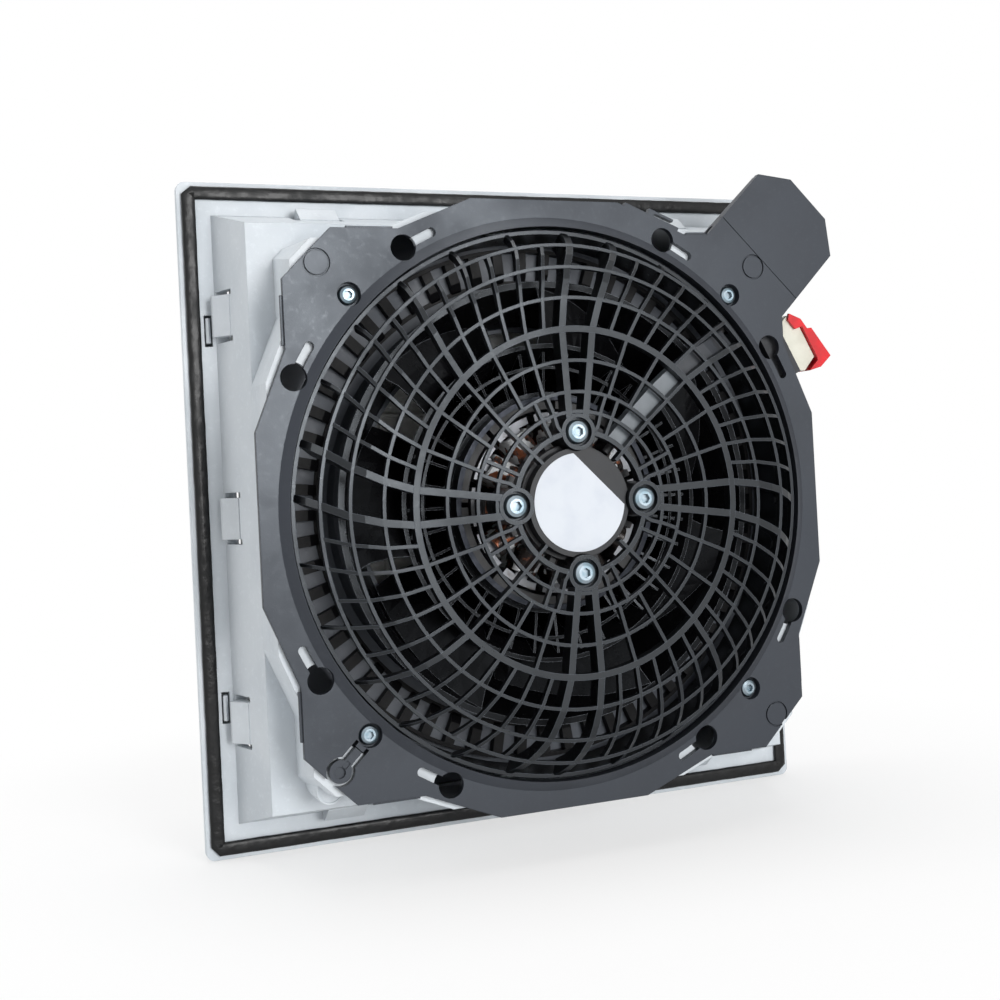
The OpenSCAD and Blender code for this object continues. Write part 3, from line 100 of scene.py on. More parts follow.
# Shader building


@dataclass(frozen=True)
class Signal:
    """A number that varies over a surface: one socket, with arithmetic that adds Math nodes."""

    graph: "Graph"
    socket: bpy.types.NodeSocket

    def _combined(self, operation: str, first: Number, second: Number) -> "Signal":
        """Adds one Math node for an operation on two values and returns its result."""
        item = self.graph.node("ShaderNodeMath", {"operation": operation}, {0: first, 1: second})
        return Signal(self.graph, item.outputs[0])

    def __add__(self, other: Number) -> "Signal":
        """Adds a number or another signal."""
        return self._combined("ADD", self, other)

    def __radd__(self, other: Number) -> "Signal":
        """Adds this signal to a number."""
        return self._combined("ADD", other, self)

    def __sub__(self, other: Number) -> "Signal":
        """Takes a number or another signal away."""
        return self._combined("SUBTRACT", self, other)

    def __rsub__(self, other: Number) -> "Signal":
        """Takes this signal away from a number."""
        return self._combined("SUBTRACT", other, self)

    def __mul__(self, other: Number) -> "Signal":
        """Multiplies by a number or another signal."""
        return self._combined("MULTIPLY", self, other)

    def __rmul__(self, other: Number) -> "Signal":
        """Multiplies a number by this signal."""
        return self._combined("MULTIPLY", other, self)

    def steps(self, low: float, high: float) -> "Signal":
        """Rises smoothly from 0 to 1 as this signal goes from low to high.

        Args:
            low: Value that becomes 0.
            high: Value that becomes 1.

        Returns:
            The eased signal, clamped to 0 and 1.
        """
        item = self.graph.node("ShaderNodeMapRange", {"interpolation_type": "SMOOTHSTEP"},
                               {"Value": self, "From Min": low, "From Max": high})
        return Signal(self.graph, item.outputs["Result"])


class Graph:
    """One material's node tree, with a single method that adds any node."""

    def __init__(self, name: str) -> None:
        """Starts an empty material that reads Object coordinates."""
        self.material = bpy.data.materials.new(name)
        self.material.use_nodes = True
        self.tree = self.material.node_tree
        self.tree.nodes.clear()
        self.place = self.node("ShaderNodeTexCoord").outputs["Object"]

    def node(self, kind: str, settings: Mapping[str, Any] | None = None,
             values: Mapping[Any, Any] | None = None) -> bpy.types.Node:
        """Adds a node, sets its options first and then feeds its sockets.

        Args:
            kind: Blender's name for the node's type.
            settings: Options of the node, such as an operation.
            values: Constants, sockets or signals for its inputs, by name or index.

        Returns:
            The new node.
        """
        item = self.tree.nodes.new(kind)
        for key, value in (settings or {}).items():
            setattr(item, key, value)
        for key, value in (values or {}).items():
            self.feed(item.inputs[key], value)
        return item

    def feed(self, socket: bpy.types.NodeSocket, value: Any) -> None:
        """Links a signal or socket to an input, or sets the input to a constant."""
        source = value.socket if isinstance(value, Signal) else value
        if isinstance(source, bpy.types.NodeSocket):
            self.tree.links.new(source, socket)
        else:
            socket.default_value = source

    def stretched(self, scale: Sequence[float]) -> bpy.types.NodeSocket:
        """Returns Object coordinates scaled along each axis."""
        values = {"Vector": self.place, "Scale": tuple(scale)}
        return self.node("ShaderNodeMapping", values=values).outputs[0]

    def reach(self) -> Signal:
        """Returns the distance from the fan axis, in metres."""
        flat = self.stretched((1.0, 0.0, 1.0))
        item = self.node("ShaderNodeVectorMath", {"operation": "LENGTH"}, {0: flat})
        return Signal(self, item.outputs["Value"])

    def toward(self, direction: Sequence[float]) -> Signal:
        """Returns the distance from the origin along a direction, in metres."""
        values = {0: self.place, 1: tuple(direction)}
        item = self.node("ShaderNodeVectorMath", {"operation": "DOT_PRODUCT"}, values)
        return Signal(self, item.outputs["Value"])

    def noise(self, cell_mm: float, detail: float = 3.0, rough: float = 0.5,
              scale: Sequence[float] | None = None) -> Signal:
        """Cloudy noise.

        Args:
            cell_mm: Size of its clouds in millimetres.
            detail: How many finer layers it has.
            rough: How strong the finer layers are.
            scale: Stretch along each axis, if any.

        Returns:
            The noise, around 0.5.
        """
        place = self.stretched(scale) if scale else self.place
        item = self.node("ShaderNodeTexNoise", values={
            "Vector": place, "Scale": 1 / (cell_mm * MM), "Detail": detail, "Roughness": rough})
        return Signal(self, item.outputs["Fac"])

    def cells(self, cell_mm: float) -> Signal:
        """Distance to the nearest of many scattered points, in cells of a size in millimetres."""
        item = self.node("ShaderNodeTexVoronoi", values={
            "Vector": self.place, "Scale": 1 / (cell_mm * MM)})
        return Signal(self, item.outputs["Distance"])

    def lines(self, period_mm: float, axis: Axis, distortion: float = 0.0) -> Signal:
        """Even stripes across an axis.

        Args:
            period_mm: Distance from stripe to stripe.
            axis: Axis that the stripes follow one another on.
            distortion: How much the stripes waver.

        Returns:
            A wave between 0 and 1.
        """
        scale = math.tau / (WAVE_UNIT * period_mm * MM)
        item = self.node("ShaderNodeTexWave", {"bands_direction": axis.name}, {
            "Vector": self.place, "Scale": scale, "Distortion": distortion})
        return Signal(self, item.outputs["Fac"])

    def blend(self, mask: Number, first: Any, second: Any) -> bpy.types.NodeSocket:
        """Mixes two colours.

        Args:
            mask: 0 for the first colour, 1 for the second.
            first: A colour or a colour socket.
            second: A colour or a colour socket.

        Returns:
            The mixed colour's socket.
        """
        item = self.node("ShaderNodeMix", {"data_type": "RGBA"}, {0: mask})
        for index, value in ((6, first), (7, second)):
            self.feed(item.inputs[index], (*value, 1.0) if isinstance(value, tuple) else value)
        return item.outputs[2]

    def rounded(self, radius_mm: float) -> bpy.types.NodeSocket:
        """Returns the surface's normal as if its sharp edges had a radius in millimetres."""
        return self.node("ShaderNodeBevel", {"samples": 4}, {"Radius": radius_mm * MM}).outputs[0]

    def edges(self, width_mm: float) -> Signal:
        """Sharp edges, found where a rounded normal turns away from the surface's own.

        Args:
            width_mm: How far from an edge it still counts, in millimetres.

        Returns:
            0 on flat faces and about 1 at sharp edges.
        """
        own = self.node("ShaderNodeNewGeometry").outputs["Normal"]
        values = {0: self.rounded(width_mm), 1: own}
        item = self.node("ShaderNodeVectorMath", {"operation": "DOT_PRODUCT"}, values)
        return (1.0 - Signal(self, item.outputs["Value"])).steps(0.02, 0.3)

    def relief(self, height: Signal, depth_mm: float,
               round_mm: float = 0.0) -> bpy.types.NodeSocket:
        """Turns a height signal into a normal, with edges that look rounded.

        Args:
            height: The relief, from 0 to 1.
            depth_mm: Depth of the relief in millimetres.
            round_mm: Radius that sharp edges seem to have.

        Returns:
            The normal's socket.
        """
        values = {"Height": height, "Distance": depth_mm * MM, "Strength": 1.0}
        if round_mm:
            values["Normal"] = self.rounded(round_mm)
        return self.node("ShaderNodeBump", values=values).outputs[0]

    def finish(self, **inputs: Any) -> bpy.types.Material:
        """Closes the material with one shader.

        Args:
            **inputs: Inputs of the shader, with underscores for spaces.

        Returns:
            The finished material.
        """
        values = {key.replace("_", " "): value for key, value in inputs.items()}
        shader = self.node("ShaderNodeBsdfPrincipled", values=values)
        self.node("ShaderNodeOutputMaterial", values={"Surface": shader.outputs[0]})
        return self.material


class WorldGraph(Graph):
    """The world's node tree, built the same way as a material's."""

    def __init__(self, name: str) -> None:
        """Starts an empty world and makes it writable through the same methods."""
        self.world = bpy.data.worlds.new(name)
        self.world.use_nodes = True
        self.tree = self.world.node_tree
        self.tree.nodes.clear()


# Finishes


@dataclass(frozen=True)
class MouldedPlastic:
    """Moulded plastic with a fine eroded grain, cloudy tone, small scuffs and, where given, a
    painted highlight on sharp edges.
    """

    name: str
    colour: Colour
    shade: Colour
    roughness: float = 0.55
    grain_mm: float = 0.5
    grain_depth_mm: float = 0.03
    scuff: float = 0.25
    round_mm: float = 0.35
    specular: float = 0.4
    gleam: Colour = (1.0, 1.0, 1.0)
    # Light colour painted on sharp edges as a painted highlight, if any.
    edge_glint: Colour | None = None

    def make(self) -> bpy.types.Material:
        """Builds the material."""
        graph = Graph(self.name)
        cloud = graph.noise(45, 3).steps(0.35, 0.68)
        fleck = graph.noise(3.0, 4, 0.65).steps(0.5, 0.8)
        scratch = graph.noise(2.2, 5, 0.6, (1.0, 0.35, 6.0)).steps(0.66, 0.74)
        tone = graph.blend(cloud * 0.75, self.colour, self.shade)
        light = tuple(min(1.0, v * 1.35 + 0.02) for v in self.colour)
        wear_and_glint = graph.blend(fleck * 0.22 + scratch * self.scuff * 0.5, tone, light)
        # Sharp edges painted light: a painted highlight laid over the scuffs.
        if self.edge_glint:
            wear_and_glint = graph.blend(graph.edges(self.round_mm), wear_and_glint, self.edge_glint)
        grain = graph.noise(self.grain_mm, 2, 0.6)
        rough = self.roughness + 0.16 * (cloud - 0.5) + 0.12 * scratch - 0.1 * fleck
        return graph.finish(
            Base_Color=wear_and_glint, Roughness=rough, Specular_IOR_Level=self.specular,
            Specular_Tint=(*self.gleam, 1.0),
            Normal=graph.relief(grain, self.grain_depth_mm, self.round_mm))


@dataclass(frozen=True)
class GlossPlastic:
    """Smooth moulded plastic with soft sink marks and fingerprints in its gloss."""

    name: str
    colour: Colour
    shade: Colour
    roughness: float = 0.3

    def make(self) -> bpy.types.Material:
        """Builds the material."""
        graph = Graph(self.name)
        cloud = graph.noise(9, 3).steps(0.35, 0.7)
        smear = graph.noise(3.5, 4, 0.7).steps(0.5, 0.75)
        wave = graph.noise(5, 1)
        return graph.finish(
            Base_Color=graph.blend(cloud * 0.8, self.colour, self.shade),
            Roughness=self.roughness + 0.18 * smear + 0.05 * cloud,
            Normal=graph.relief(wave, 0.08, 0.4))


@dataclass(frozen=True)
class PlatedSteel:
    """Zinc-plated or turned steel with brush lines and a faint yellow and blue cast."""

    name: str
    colour: Colour
    cast: Colour
    roughness: float = 0.3
    lines: Axis = Axis.Y

    def make(self) -> bpy.types.Material:
        """Builds the material."""
        graph = Graph(self.name)
        squeeze = tuple(0.12 if v else 1.0 for v in self.lines.value)
        brushed = graph.noise(0.25, 3, 0.6, squeeze)
        cast = graph.noise(4, 3).steps(0.4, 0.65)
        return graph.finish(
            Base_Color=graph.blend(cast * 0.6, self.colour, self.cast), Metallic=1.0,
            Roughness=self.roughness + 0.22 * (brushed - 0.5) + 0.1 * cast,
            Normal=graph.relief(brushed, 0.012, 0.25))


@dataclass(frozen=True)
class SatinPaint:
    """Sprayed satin paint on metal with orange peel and rubbed spots."""

    name: str
    colour: Colour
    shade: Colour
    roughness: float = 0.38

    def make(self) -> bpy.types.Material:
        """Builds the material."""
        graph = Graph(self.name)
        peel = graph.noise(0.9, 2)
        cloud = graph.noise(14, 3).steps(0.35, 0.7)
        rub = graph.noise(5, 5, 0.7).steps(0.62, 0.72)
        return graph.finish(
            Base_Color=graph.blend(cloud * 0.8, self.colour, self.shade),
            Roughness=self.roughness + 0.15 * rub, Specular_IOR_Level=0.3,
            Coat_Weight=0.1 - 0.06 * rub, Coat_Roughness=0.35,
            Normal=graph.relief(peel, 0.03, 0.4))


@dataclass(frozen=True)
class FoamBead:
    """Poured foam with a shiny skin that ripples, and a few pin holes."""

    name: str
    colour: Colour
    shade: Colour

    def make(self) -> bpy.types.Material:
        """Builds the material."""
        graph = Graph(self.name)
        holes = graph.cells(1.1).steps(0.05, 0.16)
        cloud = graph.noise(8, 3).steps(0.4, 0.7)
        ripple = graph.noise(5, 2, 0.5)
        return graph.finish(
            Base_Color=graph.blend(cloud, self.colour, self.shade),
            Roughness=0.34 + 0.2 * cloud, Specular_IOR_Level=0.24,
            Coat_Weight=0.1 - 0.07 * cloud, Coat_Roughness=0.1,
            Normal=graph.relief(ripple * 0.8 + holes * 0.2, 0.7))


@dataclass(frozen=True)
class Fleece:
    """Thrown fibres of a filter mat, matt and slightly dusty, painted darker where the fibres lie
    low as painted shade.
    """

    name: str
    colour: Colour
    shade: Colour

    def make(self) -> bpy.types.Material:
        """Builds the material."""
        graph = Graph(self.name)
        across = graph.noise(1.3, 4, 0.7, (1.0, 1.0, 0.12))
        along = graph.noise(1.3, 4, 0.7, (0.12, 1.0, 1.0))
        felt = (across + along) * 0.5
        dust = graph.noise(30, 3).steps(0.45, 0.75)
        return graph.finish(
            # Dust clouds, plus painted shade where the fibre relief is low.
            Base_Color=graph.blend(dust * 0.5 + (1 - felt) * 0.3, self.colour, self.shade),
            Roughness=0.9 + 0.08 * felt, Specular_IOR_Level=0.15,
            Normal=graph.relief(felt, 0.6))


@dataclass(frozen=True)
class EnamelledWire:
    """Copper wire under dark enamel with pale lacing tape; the upper left has more bare copper and
    tape as painted highlight, and it darkens away from there as painted shade.
    """

    name: str
    colour: Colour
    shade: Colour
    tape: Colour

    def make(self) -> bpy.types.Material:
        """Builds the material."""
        graph = Graph(self.name)
        # Distance towards the upper left, the side painted as lit.
        lit_side = graph.toward((-0.8, 0.0, 0.6))
        # Dark enamel: partly random, partly painted shade that grows away from the upper left.
        varnish_and_shade = (graph.noise(4, 3) - lit_side * 4.0).steps(0.28, 0.46)
        fine = graph.noise(0.3, 2, 0.5, (1.0, 0.3, 1.0))
        # Pale lacing tape, laid on more towards the upper left as painted highlight.
        tape_and_highlight = (graph.noise(7, 1) + lit_side * 1.6).steps(0.54, 0.57)
        wire = graph.blend(varnish_and_shade, self.colour, self.shade)
        return graph.finish(
            Base_Color=graph.blend(tape_and_highlight, wire, self.tape),
            Metallic=(0.85 - 0.25 * varnish_and_shade) * (1 - tape_and_highlight),
            Roughness=0.26 + 0.15 * fine + 0.2 * tape_and_highlight,
            Coat_Weight=0.4 + 0.3 * varnish_and_shade, Coat_Roughness=0.12,
            Normal=graph.relief(fine, 0.02))


@dataclass(frozen=True)
class ShadedDuct:
    """Pale duct near the hub, painted dark further out from the axis as painted shade."""

    name: str
    colour: Colour
    # Colour of the painted shade further out.
    shade_colour: Colour
    shade_from_mm: float = 80.5
    fade_mm: float = 1.0

    def make(self) -> bpy.types.Material:
        """Builds the material."""
        graph = Graph(self.name)
        lit_until = (self.shade_from_mm - self.fade_mm) * MM
        shade_full_from = (self.shade_from_mm + self.fade_mm) * MM
        # 0 near the hub, 1 further out, where the painted shade lies.
        in_shade = graph.reach().steps(lit_until, shade_full_from)
        cloud = graph.noise(9, 3).steps(0.4, 0.7)
        wrinkle = graph.noise(1.2, 3, 0.6, (1.0, 1.0, 0.4))
        pale = graph.blend(cloud * 0.4, self.colour, tuple(v * 0.8 for v in self.colour))
        painted_shade = graph.blend(cloud * 0.6, self.shade_colour, tuple(v * 0.7 for v in self.shade_colour))
        return graph.finish(
            Base_Color=graph.blend(in_shade, pale, painted_shade),
            Roughness=0.34 + 0.2 * in_shade + 0.1 * cloud,
            Normal=graph.relief(wrinkle, 0.05, 0.3))


@dataclass(frozen=True)
class StackedSheets:
    """Edges of thin punched steel sheets, stacked along the fan axis."""

    name: str
    colour: Colour
    shade: Colour

    def make(self) -> bpy.types.Material:
        """Builds the material."""
        graph = Graph(self.name)
        edges = graph.lines(0.5, Axis.Y, 0.4)
        rust = graph.noise(6, 5, 0.6).steps(0.55, 0.75)
        return graph.finish(
            Base_Color=graph.blend(rust * 0.6 + edges * 0.25, self.colour, self.shade),
            Metallic=0.9 - 0.4 * rust, Roughness=0.4 + 0.2 * rust,
            Normal=graph.relief(edges, 0.06, 0.2))


@dataclass(frozen=True)
class BareLabel:
    """Unprinted label foil with a soft coat, small creases and a dusting of specks."""

    name: str
    colour: Colour
    shade: Colour

    def make(self) -> bpy.types.Material:
        """Builds the material."""
        graph = Graph(self.name)
        cloud = graph.noise(12, 3).steps(0.4, 0.75)
        crease = graph.noise(7, 1)
        speck = graph.cells(1.6).steps(0.1, 0.06)
        return graph.finish(
            Base_Color=graph.blend(cloud * 0.6 + speck * 0.15, self.colour, self.shade),
            Roughness=0.5 + 0.12 * cloud, Coat_Weight=0.08 * cloud, Coat_Roughness=0.3,
            Specular_IOR_Level=0.3,
            Normal=graph.relief(crease, 0.1))


@dataclass(frozen=True)
class RubberSheath:
    """Cable sheath or bonded magnet: dark, matt and slightly chalky."""

    name: str
    colour: Colour
    shade: Colour
    roughness: float = 0.6

    def make(self) -> bpy.types.Material:
        """Builds the material."""
        graph = Graph(self.name)
        chalk = graph.noise(5, 4, 0.65).steps(0.45, 0.75)
        grain = graph.noise(0.5, 2)
        return graph.finish(
            Base_Color=graph.blend(chalk * 0.7, self.colour, self.shade),
            Roughness=self.roughness + 0.2 * chalk,
            Normal=graph.relief(grain, 0.03, 0.3))


@dataclass(frozen=True)
class Palette:
    """Every finish of the unit, made once and shared by its pieces."""

    housing: MouldedPlastic = MouldedPlastic(
        "housing_light", linear(207, 213, 218), linear(192, 199, 205),
        roughness=0.5, grain_mm=0.6, grain_depth_mm=0.03, scuff=0.15, round_mm=0.5)
    clip: MouldedPlastic = MouldedPlastic(
        "clip_white", linear(198, 204, 209), linear(184, 190, 196),
        roughness=0.5, grain_mm=0.6, grain_depth_mm=0.02, scuff=0.2, round_mm=0.3)
    ring: MouldedPlastic = MouldedPlastic(
        "ring_light", linear(88, 93, 101), linear(72, 77, 85),
        roughness=0.5, grain_mm=0.6, grain_depth_mm=0.03, scuff=0.2, round_mm=0.3)
    plate: MouldedPlastic = MouldedPlastic(
        "plate_dark", linear(42, 45, 52), linear(35, 37, 43),
        roughness=0.44, grain_mm=0.55, grain_depth_mm=0.028, scuff=0.3, round_mm=0.4,
        specular=0.5, gleam=GLEAM)
    # The guard's last colour is a painted highlight on its sharp edges.
    guard: MouldedPlastic = MouldedPlastic(
        "guard_dark", linear(13, 14, 16), linear(9, 10, 12),
        roughness=0.38, grain_mm=0.5, grain_depth_mm=0.01, scuff=0.06, round_mm=0.3,
        specular=0.45, gleam=GLEAM, edge_glint=linear(118, 126, 138))
    guide: MouldedPlastic = MouldedPlastic(
        "ring_dark", linear(15, 15, 17), linear(10, 10, 12),
        roughness=0.45, grain_mm=0.6, grain_depth_mm=0.02, scuff=0.05, round_mm=0.3, specular=0.12)
    # The impeller's last colour is a painted highlight on its sharp edges.
    impeller: MouldedPlastic = MouldedPlastic(
        "impeller_black", linear(12, 12, 14), linear(8, 8, 9),
        roughness=0.28, grain_mm=0.6, grain_depth_mm=0.01, scuff=0.08, round_mm=0.35,
        specular=0.2, gleam=GLEAM, edge_glint=linear(176, 182, 190))
    socket: MouldedPlastic = MouldedPlastic(
        "socket_dark", linear(44, 46, 50), linear(32, 34, 37),
        roughness=0.5, grain_mm=0.5, grain_depth_mm=0.03, scuff=0.3, round_mm=0.3)
    grid: MouldedPlastic = MouldedPlastic(
        "grid_white", linear(212, 214, 212), linear(196, 198, 197),
        roughness=0.5, grain_mm=0.6, grain_depth_mm=0.02, scuff=0.1, round_mm=0.2)
    # The duct's second colour is painted shade further out.
    duct: ShadedDuct = ShadedDuct("duct_grey", linear(106, 113, 119), linear(50, 54, 60))
    cream: GlossPlastic = GlossPlastic(
        "plug_cream", linear(212, 211, 198), linear(198, 196, 182), 0.34)
    ivory: GlossPlastic = GlossPlastic(
        "terminal_ivory", linear(214, 207, 188), linear(196, 188, 168), 0.35)
    red: GlossPlastic = GlossPlastic("lever_red", linear(212, 18, 30), linear(180, 10, 22), 0.34)
    zinc: PlatedSteel = PlatedSteel(
        "zinc_steel", linear(140, 152, 160), linear(108, 132, 144), 0.36)
    steel: PlatedSteel = PlatedSteel("steel", linear(150, 153, 158), linear(128, 128, 130), 0.34)
    can: PlatedSteel = PlatedSteel("can_zinc", linear(46, 48, 53), linear(34, 37, 42), 0.3)
    motor: SatinPaint = SatinPaint("motor_dark", linear(32, 34, 38), linear(24, 25, 28), 0.46)
    gasket: FoamBead = FoamBead("gasket_foam", linear(13, 13, 14), linear(20, 21, 22))
    fleece: Fleece = Fleece("filter_white", linear(222, 224, 223), linear(210, 211, 209))
    copper: EnamelledWire = EnamelledWire(
        "copper", linear(150, 88, 58), linear(30, 18, 14), linear(222, 225, 227))
    core: StackedSheets = StackedSheets("core_steel", linear(120, 122, 126), linear(92, 78, 66))
    label: BareLabel = BareLabel("label_white", linear(204, 209, 216), linear(192, 198, 208))
    sheath: RubberSheath = RubberSheath("cable_black", linear(26, 27, 29), linear(44, 45, 48))
    magnet: RubberSheath = RubberSheath("magnet", linear(40, 41, 43), linear(60, 58, 56), 0.5)


class Workshop:
    """Makes each finish once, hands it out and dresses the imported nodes."""

    def __init__(self, palette: Palette) -> None:
        """Keeps the palette and an empty shelf of finished materials."""
        self.palette = palette
        self.shelf: dict[str, bpy.types.Material] = {}

    def material(self, finish: Any) -> bpy.types.Material:
        """Returns a finish's material, made on first use."""
        if finish.name not in self.shelf:
            self.shelf[finish.name] = finish.make()
        return self.shelf[finish.name]

    def dress(self, wearing: Mapping[str, Any]) -> None:
        """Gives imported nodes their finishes.

        Args:
            wearing: The finish of each node, by the node's name.
        """
        for node, finish in wearing.items():
            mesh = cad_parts[node].data
            mesh.materials.clear()
            mesh.materials.append(self.material(finish))
            LOG.info("%s wears %s", node, finish.name)


# Surfaces


def stand(points: np.ndarray) -> np.ndarray:
    """Stands lying coordinates up.

    Args:
        points: Any array of (x, y, h) in millimetres.

    Returns:
        The same points as (x, -h, y) in metres.
    """
    return np.stack([points[..., 0], -points[..., 2], points[..., 1]], axis=-1) * MM


def turned(x: np.ndarray, y: np.ndarray, angle: np.ndarray) -> tuple[np.ndarray, np.ndarray]:
    """Turns plan coordinates about the fan axis.

    Args:
        x: First coordinate.
        y: Second coordinate.
        angle: Angles in radians, of a shape that fits the coordinates'.

    Returns:
        Both coordinates after the turn.
    """
    return x * np.cos(angle) - y * np.sin(angle), x * np.sin(angle) + y * np.cos(angle)


def swept_faces(rows: int, columns: int) -> np.ndarray:
    """Indices of the quads of a grid that closes on itself both ways.

    Args:
        rows: Number of points along the path.
        columns: Number of points round the profile.

    Returns:
        One row of four indices for each quad.
    """
    row, column = np.meshgrid(np.arange(rows), np.arange(columns), indexing="ij")
    after = (row + 1) % rows
    beside = (column + 1) % columns
    corners = [row * columns + column, after * columns + column, after * columns + beside,
               row * columns + beside]
    return np.stack(corners, axis=-1).reshape(-1, 4)


def solid(name: str, points: np.ndarray, faces: np.ndarray,
          smooth: bool = True) -> bpy.types.Object:
    """Makes an object from whole arrays.

    Args:
        name: Name of the piece.
        points: Its vertices, in metres in the row's frame.
        faces: Its quads.
        smooth: Whether the faces are shaded smoothly.

    Returns:
        The object, at the origin and unturned.
    """
    mesh = bpy.data.meshes.new(name)
    mesh.from_pydata(points.reshape(-1, 3).tolist(), [], faces.tolist())
    mesh.polygons.foreach_set("use_smooth", np.full(len(mesh.polygons), smooth))
    mesh.update()
    piece = bpy.data.objects.new(name, mesh)
    bpy.context.scene.collection.objects.link(piece)
    return piece


# Sub-assemblies


@dataclass
class Housing:
    """Flange, box and tower with gasket, clips, filter and inlet plate."""

    workshop: Workshop
    gasket_outer: float = 319.0
    gasket_width: float = 6.7
    gasket_height: float = 2.5
    gasket_corner: float = 4.0
    gasket_steps: int = 720
    gasket_sides: int = 20
    gasket_power: float = 0.75
    gasket_waver: float = 0.03
    mat_side: float = 278.0
    mat_low: float = -2.3
    mat_high: float = 5.7
    mat_points: int = 90
    rim_power: int = 24
    rim_sink: float = 0.55
    quilt_depth: float = 0.03

    def gasket_bead(self) -> bpy.types.Object:
        """Carries a flattened bead round the flange.

        The path is a rounded square walked by arc length, and the profile is a superellipse,
        so a point is path(u) + normal(u) * half_width * |cos v|^power and rises by
        half_height * |sin v|^power, with the signs of cos v and sin v. The width wavers by a
        sum of three sines of u.

        Returns:
            The bead.
        """
        half = self.gasket_outer / 2 - self.gasket_width / 2
        radius = max(self.gasket_corner - self.gasket_width / 2, 0.6)
        straight = 2 * (half - radius)
        bend = math.pi / 2 * radius
        side = straight + bend
        travelled = np.arange(self.gasket_steps) / self.gasket_steps * 4 * side
        quarter = np.floor(travelled / side)
        along = travelled - quarter * side
        turn = np.clip((along - straight) / bend, 0, 1) * math.pi / 2
        x = half - radius + radius * np.cos(turn)
        y = -(half - radius) + np.clip(along, 0, straight) + radius * np.sin(turn)
        spin = quarter * math.pi / 2
        centre = np.stack(turned(x, y, spin), axis=-1)
        normal = np.stack([np.cos(turn + spin), np.sin(turn + spin)], axis=-1)
        u = travelled / (4 * side) * math.tau
        ripple = (np.sin(23 * u) + np.sin(57 * u + 1) + np.sin(101 * u + 2)) / 3
        waver = 1 - self.gasket_waver * (1 + ripple)
        v = np.arange(self.gasket_sides) / self.gasket_sides * math.tau
        waves = np.stack([np.cos(v), np.sin(v)])
        squared = np.sign(waves) * np.abs(waves) ** self.gasket_power
        across = squared[0] * self.gasket_width / 2
        rise = squared[1] * self.gasket_height / 2
        width = across[None, :] * waver[:, None]
        plan = centre[:, None, :] + normal[:, None, :] * width[..., None]
        height = np.broadcast_to(rise - self.gasket_height / 2, plan.shape[:2])
        points = stand(np.concatenate([plan, height[..., None]], axis=-1))
        return solid("gasket_bead", points, swept_faces(self.gasket_steps, self.gasket_sides))

    def filter_fleece(self) -> bpy.types.Object:
        """Puffs a filter mat between its two faces.

        Both faces are grids over the square. Each stands off the middle by half the thickness,
        less a rim term that grows with a high power of the distance from the centre line and
        less a low quilt of sines. A wall of quads joins the borders of the two grids.

        Returns:
            The mat.
        """
        count = self.mat_points
        line = np.linspace(-1, 1, count)
        x, y = np.meshgrid(line, line, indexing="ij")
        rim = 1 - self.rim_sink * np.maximum(np.abs(x), np.abs(y)) ** self.rim_power
        stitch = np.sin(31 * x + 2 * np.sin(5 * y)) * np.sin(29 * y + 2 * np.sin(7 * x))
        quilt = self.quilt_depth * (1 + stitch) / 2
        middle = (self.mat_low + self.mat_high) / 2
        swell = (self.mat_high - self.mat_low) / 2 * (rim - quilt)
        plan = np.stack([x, y], axis=-1) * self.mat_side / 2
        top = np.concatenate([plan, (middle + swell)[..., None]], axis=-1).reshape(-1, 3)
        low = np.concatenate([plan, (middle - swell)[..., None]], axis=-1).reshape(-1, 3)
        below = count * count
        index = np.arange(below).reshape(count, count)
        quads = np.stack([index[:-1, :-1], index[1:, :-1], index[1:, 1:], index[:-1, 1:]], axis=-1)
        quads = quads.reshape(-1, 4)
        under = quads[:, ::-1] + below
        sides = [index[:-1, 0], index[-1, :-1], index[:0:-1, -1], index[0, :0:-1]]
        border = np.concatenate(sides)
        following = np.roll(border, -1)
        wall = np.stack([border + below, following + below, following, border], axis=-1)
        faces = np.concatenate([quads, under, wall])
        return solid("filter_fleece", stand(np.concatenate([top, low])), faces)

    def build(self) -> None:
        """Makes the bead and the mat and dresses everything on the housing."""
        finishes = self.workshop.palette
        bead = self.gasket_bead()
        bead.data.materials.append(self.workshop.material(finishes.gasket))
        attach(bead, "housing")
        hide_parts("gasket")
        LOG.info("gasket_bead rides on housing")
        mat = self.filter_fleece()
        mat.data.materials.append(self.workshop.material(finishes.fleece))
        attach(mat, "housing")
        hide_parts("filter_mat")
        LOG.info("filter_fleece rides on housing")
        self.workshop.dress({
            "base_frame": finishes.housing, "panel_clips": finishes.clip,
            "filter_grid": finishes.grid, "inlet_ring": finishes.ring,
            "guide_ring": finishes.guide})


@dataclass
class Louvre:
    """Front louvre with its hinge pins."""

    workshop: Workshop

    def build(self) -> None:
        """Dresses the louvre."""
        finishes = self.workshop.palette
        self.workshop.dress({
            "louvre_cover": finishes.housing, "louvre_hinge_pins": finishes.steel})


